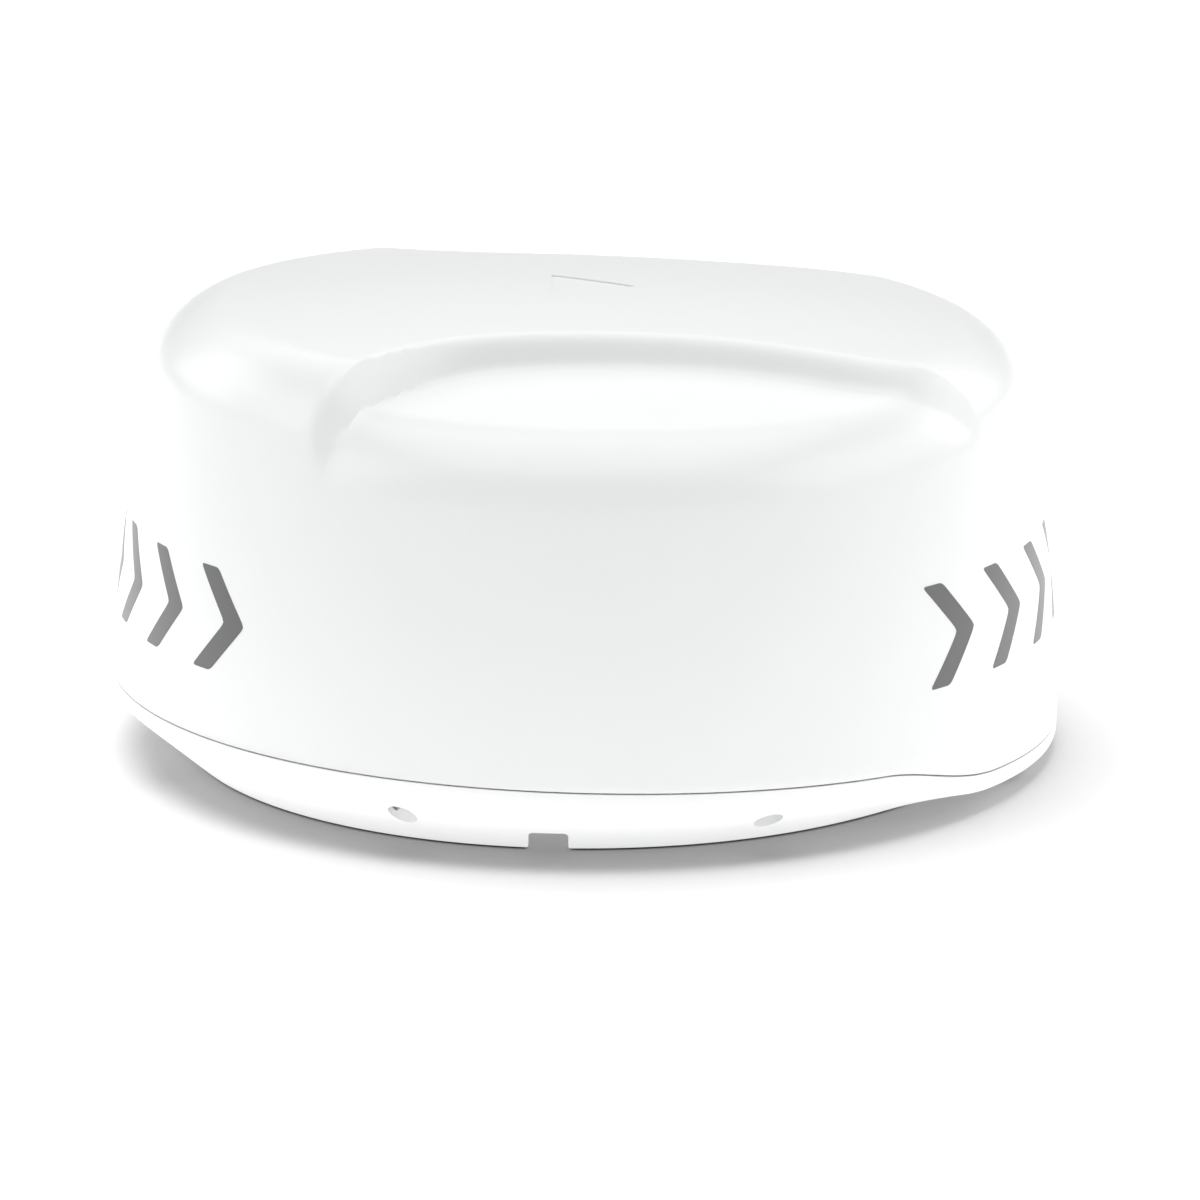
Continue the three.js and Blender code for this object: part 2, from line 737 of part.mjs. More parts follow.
function driveMotor() {
  const half = motor.side / 2;
  const top = driveBase - motor.below;
  const waist = motor.side - motor.endCap / 2;
  const outline = roundedRectangle(-half, half, -half, half, motor.corner);
  const body = joined([
    plate(outline, motor.height - motor.endCap * 2, top - motor.height + motor.endCap),
    block(waist, waist, motor.height, 0, 0, top - motor.height),
    rod(motor.boss, motor.bossHeight + 1, 0, 0, top - 1, 24),
  ]);
  const bore = rod(motor.spindle + clearance, 40, 0, 0, top - 20, 12);
  return geometryOf(cut(body, [bore])).translate(pinion.x, pinion.y, 0);
}

function motorBracket() {
  const half = motor.side / 2;
  const top = driveBase - motor.below + clearance;
  const foot = deckTop + clearance;
  const inner = half + stand.gap;
  const outer = inner + stand.sheet;
  const outline = roundedRectangle(-outer, outer, -half, half, stand.sheet);
  outline.holes.push(circleHole(motor.boss + clearance));
  const pieces = [plate(outline, stand.sheet, top)];
  for (const side of [1, -1]) {
    pieces.push(block(stand.sheet, motor.side, top - foot + 1, side * (inner + outer) / 2, 0, foot));
    pieces.push(block(stand.toe, motor.side, stand.sheet, side * (inner + stand.toe / 2), 0, foot));
  }
  return geometryOf(joined(pieces)).translate(pinion.x, pinion.y, 0);
}

function idlerPulley() {
  const bore = idler.pin + clearance;
  const cheek = () => ring(idler.flange, bore + 0.2, pulley.cheek, 24);
  return geometryOf(joined([
    ring(idler.radius, bore, pulley.height, 24),
    cheek(),
    cheek().translate(0, 0, pulley.height - pulley.cheek),
  ])).translate(idler.x, idler.y, driveBase);
}

function tensionerArm() {
  const low = driveBase - motor.below;
  const foot = deckTop + clearance;
  const { x, y, pin } = idler;
  const { thickness, radius, postX, postY } = arm;
  const heading = Math.atan2(postY - y, postX - x);
  const outline = new THREE.Shape([
    ...arcPoints(postX, postY, radius, heading - Math.PI / 2, heading + Math.PI / 2, 8),
    ...arcPoints(x, y, radius, heading + Math.PI / 2, heading + Math.PI * 1.5, 8),
  ]);
  return geometryOf(joined([
    plate(outline, thickness, low),
    rod(pin, driveBase + pulley.height + 1 - low, x, y, low, 16),
    rod(radius - 1, low - foot + 1, postX, postY, foot, 16),
    rod(arm.foot, arm.footHeight, postX, postY, foot, 20),
  ]));
}

function encoderDisc() {
  const outline = disc(encoder.radius, encoder.slots * 2);
  outline.holes.push(circleHole(shaft.radius + clearance * 2));
  const whole = solid(plate(outline, encoder.thickness, 0));
  const slots = Array.from({ length: encoder.slots }, (_, index) => {
    const out = encoder.radius - encoder.slotInset - encoder.slotLength / 2;
    const slot = block(encoder.slotLength, encoder.slotWidth, encoder.thickness + 2, out, 0, -1);
    return slot.rotateZ((index / encoder.slots) * Math.PI * 2);
  });
  return geometryOf(cut(whole, slots)).translate(0, 0, driveBase + pulley.height + clearance);
}

// A slotted sensor: two jaws that reach over the rim of the disc, on a post beside it.
function encoderSensor() {
  const { width, jaw, opening, length, bite, overlap, post, postDepth } = sensor;
  const middle = driveBase + pulley.height + clearance + encoder.thickness / 2;
  const foot = deckTop + clearance;
  const bottom = middle - opening / 2 - jaw;
  const tip = overlap - encoder.radius;
  const postX = tip - length + post / 2;
  const head = block(length, width, opening + jaw * 2, tip - length / 2, 0, bottom);
  const gap = block(bite, width + 2, opening, tip + 1 - bite / 2, 0, bottom + jaw);
  const column = block(post, postDepth, bottom - foot + 1, postX, 0, foot);
  const toe = block(post * 2.5, width + 6, stand.sheet, postX, 0, foot);
  return geometryOf(cut(joined([head, column, toe]), [gap]));
}

// ---- The turning array ----

const turntableBase = driveBase + pulley.height + encoder.thickness + clearance * 2;
const tableTop = turntableBase + turntable.hubHeight + turntable.plate;
const arrayFoot = tableTop + clearance;

function turntableBody() {
  const halfLong = turntable.length / 2;
  const halfDeep = turntable.depth / 2;
  const outline = roundedRectangle(-halfLong, halfLong, -halfDeep, halfDeep, turntable.corner);
  const whole = joined([
    rod(turntable.hub, turntable.hubHeight + 1, 0, 0, turntableBase, 28),
    plate(outline, turntable.plate, turntableBase + turntable.hubHeight),
  ]);
  return geometryOf(cut(whole, [rod(shaft.radius + clearance, 40, 0, 0, turntableBase - 5, 24)]));
}

function antennaShaft() {
  return ring(shaft.radius, shaft.bore, shaft.height, 24).translate(0, 0, shaftFoot);
}

function arrayTray() {
  const { length, height, depth, sheet, front } = array;
  const section = new THREE.Shape();
  section.moveTo(0, 0);
  section.lineTo(depth, 0);
  section.lineTo(depth, height);
  section.lineTo(0, height);
  section.lineTo(0, height - sheet);
  section.lineTo(depth - sheet, height - sheet);
  section.lineTo(depth - sheet, sheet);
  section.lineTo(0, sheet);
  section.closePath();
  const tray = new THREE.ExtrudeGeometry(section, { depth: length, bevelEnabled: false });
  // The section is drawn in depth and height, and runs along the array.
  tray.rotateX(Math.PI / 2).rotateZ(Math.PI / 2);
  return tray.translate(-length / 2, front, arrayFoot);
}

function arrayBoard() {
  const { length, height, sheet, front, boardInset, boardEnd, board: thickness } = array;
  const low = arrayFoot + sheet + clearance;
  const y = front + boardInset + thickness / 2;
  const tall = height - (sheet + clearance) * 2;
  return block(length - boardEnd * 2, thickness, tall, 0, y, low);
}

function arrayBracket(side) {
  const back = array.front + array.depth + clearance;
  const { width, sheet, foot, rise } = bracket;
  return geometryOf(joined([
    block(width, sheet, rise, side * bracket.x, back + sheet / 2, arrayFoot),
    block(width, foot, sheet, side * bracket.x, back + foot / 2, arrayFoot),
  ]));
}

function counterweight() {
  const { length, depth, height, y } = ballast;
  const outline = roundedRectangle(-length / 2, length / 2, y - depth / 2, y + depth / 2, 4);
  return plate(outline, height, arrayFoot);
}

// ---- The radio path ----

function couplerStator() {
  const low = innerFloor + clearance;
  const top = shaftFoot + shaft.height - coupler.recess;
  return turned([
    [0, 0],
    [coupler.flange, 0],
    [coupler.flange, coupler.flangeHeight],
    [coupler.stem, coupler.flangeHeight],
    [coupler.stem, top - low],
    [0, top - low],
  ], 20).translate(0, 0, low);
}

function couplerRotor() {
  const low = shaftFoot + shaft.height + clearance;
  return turned([
    [0, 0],
    [coupler.cap, 0],
    [coupler.cap, coupler.capHeight - coupler.capEdge],
    [coupler.cap - coupler.capEdge, coupler.capHeight],
    [0, coupler.capHeight],
  ], 20).translate(0, 0, low);
}

function feedCable() {
  const z = shaftFoot + shaft.height + clearance + coupler.capHeight / 2;
  const start = coupler.cap + clearance;
  const back = array.front + array.depth + clearance * 2;
  return bar([
    [start, 4, z],
    [start + 8, 4, z],
    [start + 16, 2, z + 6],
    [start + 18, -3, z + 12],
    [start + 18, back, z + 14],
  ], coax.radius, 14);
}

function transceiverOutline(inset) {
  const { length, depth, corner, x, y } = transceiver;
  const halfLong = length / 2 - inset;
  const halfDeep = depth / 2 - inset;
  return roundedRectangle(x - halfLong, x + halfLong, y - halfDeep, y + halfDeep, corner - inset);
}

function transceiverBox() {
  const { height, wall } = transceiver;
  const foot = deckTop + clearance;
  const inside = plate(transceiverOutline(wall), height, foot + wall);
  return geometryOf(cut(solid(plate(transceiverOutline(0), height, foot)), [inside]));
}

function transceiverLid() {
  const { length, depth, height, x, y } = transceiver;
  const { thickness, fins, finHeight, finWidth, finEnd, finSide } = lid;
  const low = deckTop + height + clearance * 2;
  const pieces = [plate(transceiverOutline(0), thickness, low)];
  for (let index = 0; index < fins; index += 1) {
    const across = y - depth / 2 + finSide + (index * (depth - finSide * 2)) / (fins - 1);
    pieces.push(block(length - finEnd * 2, finWidth, finHeight + 1, x, across, low + thickness - 1));
  }
  return geometryOf(joined(pieces));
}

// A printed board on four legs with blocks for its tallest parts, as [x share, y share, x, y, z size].
function populatedBoard(size, components) {
  const low = deckTop + board.stand;
  const pieces = [block(size.length, size.depth, board.thickness, size.x, size.y, low)];
  for (const fore of [1, -1]) {
    for (const port of [1, -1]) {
      const x = size.x + fore * (size.length / 2 - board.legInset);
      const y = size.y + port * (size.depth / 2 - board.legInset);
      pieces.push(rod(board.leg, board.stand - clearance + 0.5, x, y, deckTop + clearance, 10));
    }
  }
  for (const [alongShare, acrossShare, length, depth, height] of components) {
    const x = size.x + (alongShare * size.length) / 2;
    const y = size.y + (acrossShare * size.depth) / 2;
    pieces.push(block(length, depth, height + 0.5, x, y, low + board.thickness - 0.5));
  }
  return geometryOf(joined(pieces));
}

const mainComponents = [
  [-0.4, 0.1, 26, 26, 3],
  [0.35, 0.35, 18, 18, 2.4],
  [0.4, -0.4, 22, 14, 4],
  [-0.1, -0.62, 12, 8, 8],
  [0.1, 0.55, 10, 6, 2],
  [-0.68, -0.62, 14, 10, 10],
];
const powerComponents = [
  [-0.5, 0.4, 18, 18, 12],
  [0.2, 0.4, 12, 12, 14],
  [0.6, 0.4, 10, 10, 14],
  [-0.2, -0.4, 26, 14, 6],
  [0.55, -0.45, 14, 12, 10],
];

// A bulkhead connector whose mouth faces aft, with its flange against the pocket's forward wall.
function bulkheadSocket(side) {
  const { barrel, nut, nutHeight, throat, bottom, reach, inboard } = socket;
  const wall = pocket.wall + clearance * 2;
  const profile = [
    [0, bottom],
    [throat, bottom],
    [throat, -reach],
    [barrel, -reach],
    [barrel, -3.4],
    [socket.flange, -3],
    [socket.flange, -clearance],
    [barrel, -clearance],
    [barrel, wall],
    [nut, wall],
    [nut, wall + nutHeight],
    [barrel, wall + nutHeight],
    [barrel, wall + inboard],
    [0, wall + inboard],
  ];
  const geometry = turned(profile, 16);
  return geometry.rotateY(Math.PI / 2).translate(pocket.fore, (side * socket.spread) / 2, socket.height);
}

function breatherVent() {
  const low = base.recess - clearance;
  const top = innerFloor + clearance;
  return turned([
    [0, low - vent.height],
    [vent.radius - 1, low - vent.height],
    [vent.radius, low - vent.height + 1],
    [vent.radius, low],
    [vent.stem, low],
    [vent.stem, top + 3],
    [0, top + 3],
  ], 16).translate(vent.x, vent.y, 0);
}

// The coaxial line runs from the rotary joint under the plate, up through its hole, to the box.
function radioCable() {
  const under = (innerFloor + chassis.height) / 2 - 0.4;
  const out = coupler.flange + clearance + 0.2;
  const heading = Math.atan2(coax.y, coax.x);
  const straight = (share) => [coax.x * share, coax.y * share, under];
  const boxSide = transceiver.y - transceiver.depth / 2 - clearance * 2;
  return bar([
    [out * Math.cos(heading), out * Math.sin(heading), under],
    straight(0.6),
    straight(0.88),
    [coax.x, coax.y, chassis.height + 1],
    [coax.x, coax.y, deckTop + 6],
    [coax.x, coax.y + 2, deckTop + 11],
    [coax.x, boxSide - 1, deckTop + 13],
    [coax.x, boxSide, deckTop + 13],
  ], coax.radius, 20);
}

// The wiring from the power connector climbs over the plate to the header on the main board.
function wiringLoom() {
  const [alongShare, acrossShare, , , tall] = mainComponents.at(-1);
  const x = mainBoard.x + (alongShare * mainBoard.length) / 2;
  const y = mainBoard.y + (acrossShare * mainBoard.depth) / 2;
  const z = deckTop + board.stand + board.thickness + tall + clearance;
  const start = pocket.fore + socket.inboard + pocket.wall + clearance * 4;
  const side = -socket.spread / 2;
  return bar([
    [start, side, socket.height],
    [start + 2, side, socket.height],
    [start + 9, side - 5, deckTop + loom.radius + 5],
    [x - 18, (side + y) / 2, z],
    [x - 6, y + 14, z + 7],
    [x, y + 1, z + 5],
    [x, y, z + 1.4],
    [x, y, z],
  ], loom.radius, 22);
}

// ---- The whole antenna ----

add("base_housing", baseHousing(), "baseWhite");
add("radome", radome(), "gelWhite");
add("rim_gasket", rimGasket(), "rubber");
rimScrews();
mountInserts();
add("chassis_plate", chassisPlate(), "sheetAluminium");
chassisScrews();
add("pedestal", pedestalBody(), "castAluminium");
add("lower_bearing", ballBearing().translate(0, 0, deckTop + clearance), "steel");
const upperSeat = deckTop + clearance + pedestal.height - bearing.height;
add("upper_bearing", ballBearing().translate(0, 0, upperSeat), "steel");
add("antenna_shaft", antennaShaft(), "steel");
const drivenBore = shaft.radius + clearance;
add("driven_pulley", toothedWheel(pulley, drivenBore).translate(0, 0, driveBase), "blackPlastic");
const pinionWheel = toothedWheel(pinion, motor.spindle + clearance);
add("motor_pulley", pinionWheel.translate(pinion.x, pinion.y, driveBase), "brass");
const spindleFoot = driveBase - spindle.below;
add("motor_spindle", rod(motor.spindle, spindle.length, pinion.x, pinion.y, spindleFoot, 12), "steel");
add("idler_pulley", idlerPulley(), "greyNylon");
add("tensioner_arm", tensionerArm(), "sheetAluminium");
add("drive_belt", driveBelt(), "rubber");
add("drive_motor", driveMotor(), "motorBlack");
add("motor_bracket", motorBracket(), "sheetAluminium");
add("encoder_disc", encoderDisc(), "blackPlastic");
add("encoder_sensor", encoderSensor(), "blackPlastic");
add("turntable", turntableBody(), "castAluminium");
add("array_tray", arrayTray(), "sheetAluminium");
add("array_board", arrayBoard(), "arrayBoard");
add("array_bracket_fore", arrayBracket(1), "sheetAluminium");
add("array_bracket_aft", arrayBracket(-1), "sheetAluminium");
add("counterweight", counterweight(), "steel");
add("rotary_joint_stator", couplerStator(), "brass");
add("rotary_joint_rotor", couplerRotor(), "brass");
add("feed_cable", feedCable(), "copper");
add("transceiver_box", transceiverBox(), "castAluminium");
add("transceiver_lid", transceiverLid(), "castAluminium");
add("main_board", populatedBoard(mainBoard, mainComponents), "boardGreen");
add("power_board", populatedBoard(powerBoard, powerComponents), "boardGreen");
add("power_connector", bulkheadSocket(-1), "blackPlastic");
add("network_connector", bulkheadSocket(1), "blackPlastic");
add("breather_vent", breatherVent(), "blackPlastic");
add("radio_cable", radioCable(), "copper");
add("wiring_loom", wiringLoom(), "blackPlastic");

export default part;
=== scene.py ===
# Marine radar dome: two glossy shells with a sealed seam, and the turning array, drive and boards inside.
import json
import math
import bmesh
import bpy
import numpy as np
from mathutils import Matrix, Vector


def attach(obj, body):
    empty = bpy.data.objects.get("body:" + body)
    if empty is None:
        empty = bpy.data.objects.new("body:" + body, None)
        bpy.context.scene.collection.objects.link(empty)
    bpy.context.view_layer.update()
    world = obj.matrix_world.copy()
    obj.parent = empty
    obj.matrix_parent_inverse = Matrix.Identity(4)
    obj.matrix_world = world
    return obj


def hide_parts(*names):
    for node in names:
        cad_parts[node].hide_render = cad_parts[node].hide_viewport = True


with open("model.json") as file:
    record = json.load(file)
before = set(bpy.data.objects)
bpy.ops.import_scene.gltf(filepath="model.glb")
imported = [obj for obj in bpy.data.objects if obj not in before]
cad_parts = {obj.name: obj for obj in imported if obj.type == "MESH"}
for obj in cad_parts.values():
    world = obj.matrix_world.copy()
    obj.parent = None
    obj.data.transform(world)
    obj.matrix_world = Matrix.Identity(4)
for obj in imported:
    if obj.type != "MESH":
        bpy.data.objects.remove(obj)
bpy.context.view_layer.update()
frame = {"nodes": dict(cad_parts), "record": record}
mm = 0.001  # shapes below are worked out in millimetres
tau = math.tau


def linear(hexColour):
    parts = [int(hexColour[i:i + 2], 16) / 255 for i in (1, 3, 5)]
    return tuple(c / 12.92 if c <= 0.04045 else ((c + 0.055) / 1.055) ** 2.4 for c in parts) + (1.0,)


def addNode(tree, kind, settings=(), links=()):
    # names of inputs take a value, names of properties are set on the node itself
    node = tree.nodes.new(kind)
    for key, value in dict(settings).items():
        if isinstance(key, int) or key in node.inputs:
            node.inputs[key].default_value = value
        else:
            setattr(node, key, value)
    for key, (source, output) in dict(links).items():
        tree.links.new(source.outputs[output], node.inputs[key])
    return node


def newMaterial(name):
    material = bpy.data.materials.new(name)
    material.use_nodes = True
    tree = material.node_tree
    tree.nodes.clear()
    coordinates = addNode(tree, "ShaderNodeTexCoord")
    return material, tree, coordinates


def finishMaterial(tree, shader):
    addNode(tree, "ShaderNodeOutputMaterial", links={"Surface": (shader, "BSDF")})


def gridMesh(name, grid, wrapRows=False, wrapColumns=True, poles=False, caps=False):
    # quads between neighbouring points of a rows x columns grid; poles closes each end row in a fan
    rows, columns = grid.shape[:2]
    points = grid.reshape(-1, 3)
    r = np.arange(rows if wrapRows else rows - 1)[:, None]
    c = np.arange(columns if wrapColumns else columns - 1)[None, :]
    rn, cn = (r + 1) % rows, (c + 1) % columns
    quads = np.stack([r * columns + c, r * columns + cn, rn * columns + cn, rn * columns + c], -1)
    faces = quads.reshape(-1, 4).tolist()
    if poles:
        points = np.vstack([points, grid[0].mean(0), grid[-1].mean(0)])
        around = np.arange(columns)
        first = np.stack([np.full(columns, len(points) - 2), (around + 1) % columns, around], -1)
        lastRow = (rows - 1) * columns
        last = np.stack([np.full(columns, len(points) - 1), lastRow + around,
                         lastRow + (around + 1) % columns], -1)
        faces += first.tolist() + last.tolist()
    if caps:
        faces += [list(range(columns))[::-1], list(range((rows - 1) * columns, rows * columns))]
    mesh = bpy.data.meshes.new(name)
    mesh.from_pydata((points * mm).tolist(), [], faces)
    mesh.validate()
    return mesh


def placeMesh(name, mesh, material, body, replaced=(), sharp=None):
    # faces are smooth, apart from edges that turn more than the sharp angle
    mesh.materials.clear()
    mesh.materials.append(material)
    mesh.shade_smooth()
    if sharp:
        mesh.set_sharp_from_angle(angle=math.radians(sharp))
    piece = bpy.data.objects.new(name, mesh)
    bpy.context.scene.collection.objects.link(piece)
    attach(piece, body)
    if replaced:
        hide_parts(*replaced)
    return piece


def facingOut(mesh):
    work = bmesh.new()
    work.from_mesh(mesh)
    bmesh.ops.remove_doubles(work, verts=work.verts, dist=1e-7)
    bmesh.ops.recalc_face_normals(work, faces=work.faces)
    work.to_mesh(mesh)
    work.free()
    return mesh


def turnedGrid(profile, sides=48):
    # radius and height of a profile carried round the vertical axis
    profile = np.asarray(profile, float)
    angle = np.arange(sides) / sides * tau
    radius, height = profile[:, 0][:, None], profile[:, 1][:, None]
    return np.stack([radius * np.cos(angle), radius * np.sin(angle), height + 0 * angle], -1)


def turnedMesh(name, profile, sides=48):
    # a profile that starts and ends on the axis is closed by fans, any other closes on itself
    grid = turnedGrid(profile, sides)
    onAxis = profile[0][0] < 1e-6
    return gridMesh(name, grid[1:-1] if onAxis else grid, wrapRows=not onAxis, poles=onAxis)


def tableMesh(name, rows, turn, share):
    # rows of radius, height and weight: the radius loses its weight's part of share at each bearing
    table = np.asarray(rows, float)
    radius = table[:, 0][:, None] - table[:, 2][:, None] * share
    across = table[:, 1][:, None] + 0 * radius
    return gridMesh(name, np.stack([radius * np.cos(turn), radius * np.sin(turn), across], -1),
                    wrapRows=True)


def moved(mesh, x=0, y=0, z=0):
    points = np.empty(len(mesh.vertices) * 3, np.float32)
    mesh.vertices.foreach_get("co", points)
    points = points.reshape(-1, 3) + np.array([x, y, z]) * mm
    mesh.vertices.foreach_set("co", points.astype(np.float32).ravel())
    return mesh


def joinedMesh(name, meshes):
    # every mesh in the list, put into one and then dropped
    work = bmesh.new()
    for mesh in meshes:
        work.from_mesh(mesh)
        bpy.data.meshes.remove(mesh)
    whole = bpy.data.meshes.new(name)
    work.to_mesh(whole)
    work.free()
    return whole


def worked(mesh, steps):
    # each step joins or cuts one tool mesh, with the solver that keeps a closed mesh closed
    body = bpy.data.objects.new("work", mesh)
    bpy.context.scene.collection.objects.link(body)
    tools = []
    for operation, toolMesh in steps:
        tool = bpy.data.objects.new("tool", toolMesh)
        bpy.context.scene.collection.objects.link(tool)
        modifier = body.modifiers.new("step", "BOOLEAN")
        modifier.operation = operation
        modifier.solver = "MANIFOLD"
        modifier.object = tool
        tools.append(tool)
    view = bpy.context.evaluated_depsgraph_get()
    result = bpy.data.meshes.new_from_object(body.evaluated_get(view))
    for item in tools + [body]:
        itemMesh = item.data
        bpy.data.objects.remove(item)
        bpy.data.meshes.remove(itemMesh)
    return result


def noiseNode(tree, source, output, sizeMm, detail):
    return addNode(tree, "ShaderNodeTexNoise", {"Scale": 1000 / sizeMm, "Detail": detail},
                   {"Vector": (source, output)})


def coloured(tree, look, source):
    return addNode(tree, "ShaderNodeMix",
                   {"data_type": "RGBA", 6: linear(look["colour"]), 7: linear(look["shade"])},
                   {0: (source, "Fac")})


def finishedSkin(material, tree, look, colour, glossSource, grain, settings):
    # gloss that wanders either side of its middle value, over a relief from the grain
    gloss = addNode(tree, "ShaderNodeMapRange", {"To Min": look["rough"] - look["roughSpread"],
                                                 "To Max": look["rough"] + look["roughSpread"]},
                    {"Value": (glossSource, "Fac")})
    bump = addNode(tree, "ShaderNodeBump", {"Strength": look["bump"], "Distance": look["bumpMm"] * mm},
                   {"Height": (grain, "Fac")})
    shader = addNode(tree, "ShaderNodeBsdfPrincipled", settings,
                     {"Base Color": (colour, 2), "Roughness": (gloss, "Result"),
                      "Normal": (bump, "Normal")})
    finishMaterial(tree, shader)
    return material


def mouldedPlastic(name, look):
    # moulded or sprayed plastic: a faint skin texture, a little colour drift, gloss that varies with it
    material, tree, coordinates = newMaterial(name)
    drift = noiseNode(tree, coordinates, "Object", look["driftMm"], 3.0)
    grain = noiseNode(tree, coordinates, "Object", look["grainMm"], 2.0)
    return finishedSkin(material, tree, look, coloured(tree, look, drift), drift, grain, {"IOR": 1.5})


def metalFinish(name, look):
    # grainMm is the size of the surface's tool marks or cast pits, stretch draws them out along one axis
    material, tree, coordinates = newMaterial(name)
    stretched = addNode(tree, "ShaderNodeMapping", {"Scale": look["stretch"]},
                        {"Vector": (coordinates, "Object")})
    grain = noiseNode(tree, stretched, "Vector", look["grainMm"], 4.0)
    stain = noiseNode(tree, coordinates, "Object", look["stainMm"], 2.0)
    return finishedSkin(material, tree, look, coloured(tree, look, stain), grain, grain, {"Metallic": 1.0})


finishes = {
    # polished ASA skin: a deep clean gloss with the barest orange peel
    "glossWhiteAsa": mouldedPlastic("glossWhiteAsa", {
        "colour": "#e6e7e7", "shade": "#e4e5e5", "driftMm": 90, "rough": 0.3, "roughSpread": 0.02,
        "grainMm": 4.5, "bump": 0.02, "bumpMm": 0.05}),
    # moulded ASA straight from a fine-blasted tool: white, satin, very slightly pebbled
    "satinWhiteAsa": mouldedPlastic("satinWhiteAsa", {
        "colour": "#efefef", "shade": "#ebecec", "driftMm": 120, "rough": 0.34, "roughSpread": 0.04,
        "grainMm": 0.9, "bump": 0.12, "bumpMm": 0.06}),
    # extruded EPDM: soft black with a bloom of grey
    "blackEpdm": mouldedPlastic("blackEpdm", {
        "colour": "#1c1d1e", "shade": "#2d2e2f", "driftMm": 14, "rough": 0.7, "roughSpread": 0.08,
        "grainMm": 0.5, "bump": 0.4, "bumpMm": 0.08}),
    # pad-printed two-part ink: flat grey film, a touch glossy from its hardener
    "printedInk": mouldedPlastic("printedInk", {
        "colour": "#5d5d5e", "shade": "#636364", "driftMm": 30, "rough": 0.38, "roughSpread": 0.04,
        "grainMm": 0.7, "bump": 0.08, "bumpMm": 0.02}),
    # glass-filled nylon: near-black, dry, with fibre read-through
    "blackNylon": mouldedPlastic("blackNylon", {
        "colour": "#18191a", "shade": "#232425", "driftMm": 9, "rough": 0.46, "roughSpread": 0.08,
        "grainMm": 0.6, "bump": 0.25, "bumpMm": 0.05}),
    # unfilled nylon: waxy off-white
    "naturalNylon": mouldedPlastic("naturalNylon", {
        "colour": "#d9d7cc", "shade": "#cdcabd", "driftMm": 12, "rough": 0.42, "roughSpread": 0.05,
        "grainMm": 0.8, "bump": 0.12, "bumpMm": 0.04}),
    # powder-coated motor case: black with a fine orange peel
    "powderBlack": mouldedPlastic("powderBlack", {
        "colour": "#1b1c1e", "shade": "#26282a", "driftMm": 18, "rough": 0.36, "roughSpread": 0.06,
        "grainMm": 1.1, "bump": 0.3, "bumpMm": 0.06}),
    # passivated A4 screw: grey-white metal with fine turning marks
    "passivatedSteel": metalFinish("passivatedSteel", {
        "colour": "#bfc1c2", "shade": "#a9acae", "stretch": (1, 1, 12), "grainMm": 1.2, "stainMm": 9,
        "rough": 0.26, "roughSpread": 0.08, "bump": 0.12, "bumpMm": 0.03}),
    # turned brass: warm yellow, drawn rings
    "turnedBrass": metalFinish("turnedBrass", {
        "colour": "#c9a75c", "shade": "#b08d48", "stretch": (1, 1, 14), "grainMm": 1.0, "stainMm": 8,
        "rough": 0.3, "roughSpread": 0.08, "bump": 0.12, "bumpMm": 0.03}),
    # die-cast aluminium, chromated: dull grey with a sandy skin
    "castAluminium": metalFinish("castAluminium", {
        "colour": "#a7abad", "shade": "#94989b", "stretch": (1, 1, 1), "grainMm": 1.4, "stainMm": 30,
        "rough": 0.5, "roughSpread": 0.1, "bump": 0.5, "bumpMm": 0.12}),
    # rolled sheet: bright, with the mill's lines along it
    "rolledAluminium": metalFinish("rolledAluminium", {
        "colour": "#c6c9cb", "shade": "#b6babc", "stretch": (0.04, 1, 1), "grainMm": 0.9, "stainMm": 60,
        "rough": 0.32, "roughSpread": 0.08, "bump": 0.15, "bumpMm": 0.03}),
    # bare copper, lightly tarnished
    "brightCopper": metalFinish("brightCopper", {
        "colour": "#c98559", "shade": "#a96540", "stretch": (1, 1, 1), "grainMm": 1.5, "stainMm": 12,
        "rough": 0.3, "roughSpread": 0.08, "bump": 0.1, "bumpMm": 0.02}),
    # solder mask over glass laminate: deep green, half gloss
    "greenSolderMask": mouldedPlastic("greenSolderMask", {
        "colour": "#14502f", "shade": "#1b6038", "driftMm": 6, "rough": 0.3, "roughSpread": 0.06,
        "grainMm": 1.5, "bump": 0.2, "bumpMm": 0.03}),
    # woven microwave laminate: cream, matt
    "creamLaminate": mouldedPlastic("creamLaminate", {
        "colour": "#d8cfaa", "shade": "#cfc49b", "driftMm": 8, "rough": 0.5, "roughSpread": 0.05,
        "grainMm": 0.8, "bump": 0.15, "bumpMm": 0.03}),
}
print("finishes ready")

parting = {"stern": 43.9, "fall": 2.7, "power": 2.6, "reference": 250,
           "step": 11, "stepStart": 150, "stepEnd": 210, "gap": 0.6}
dome = {"rim": 254, "rimHeight": 42, "taper": 0.074, "belly": 0.00048, "wall": 4, "deck": 244.6,
        "deckFall": 0.027, "deckBow": 0.0003, "deckTail": 2.5e-7, "deckCrown": 0.00034,
        "corner": 30, "cornerLoss": 6, "heart": 60, "around": 384, "outerRows": 190, "innerRows": 40}
spine = {"halfWidth": 104, "spread": 1.3, "bend": -78, "softness": 40,
         "flare": 15, "flareAt": 155, "flareLength": 60, "step": 15}
shoulder = {"height": 224, "from": 125, "slope": 0.165, "softness": 20, "foreFall": 0.02,
            "foreBow": 0.00027}
lip = {"inner": 225, "outer": 231, "height": 3, "groove": 2.2, "edge": 1.4, "gap": 1}
base = {"foot": 214, "footWidth": 6, "footRound": 2.4, "recess": 12, "floor": 16, "band": 10, "inset": 1.6,
        "round": 3, "land": 8, "landFall": 0.6, "moatWall": 5, "hub": 44, "rib": 3, "ribs": 8}
clearance = 0.3


def smoothRise(low, high, value):
    share = np.clip((value - low) / (high - low), 0, 1)
    return share * share * (3 - 2 * share)


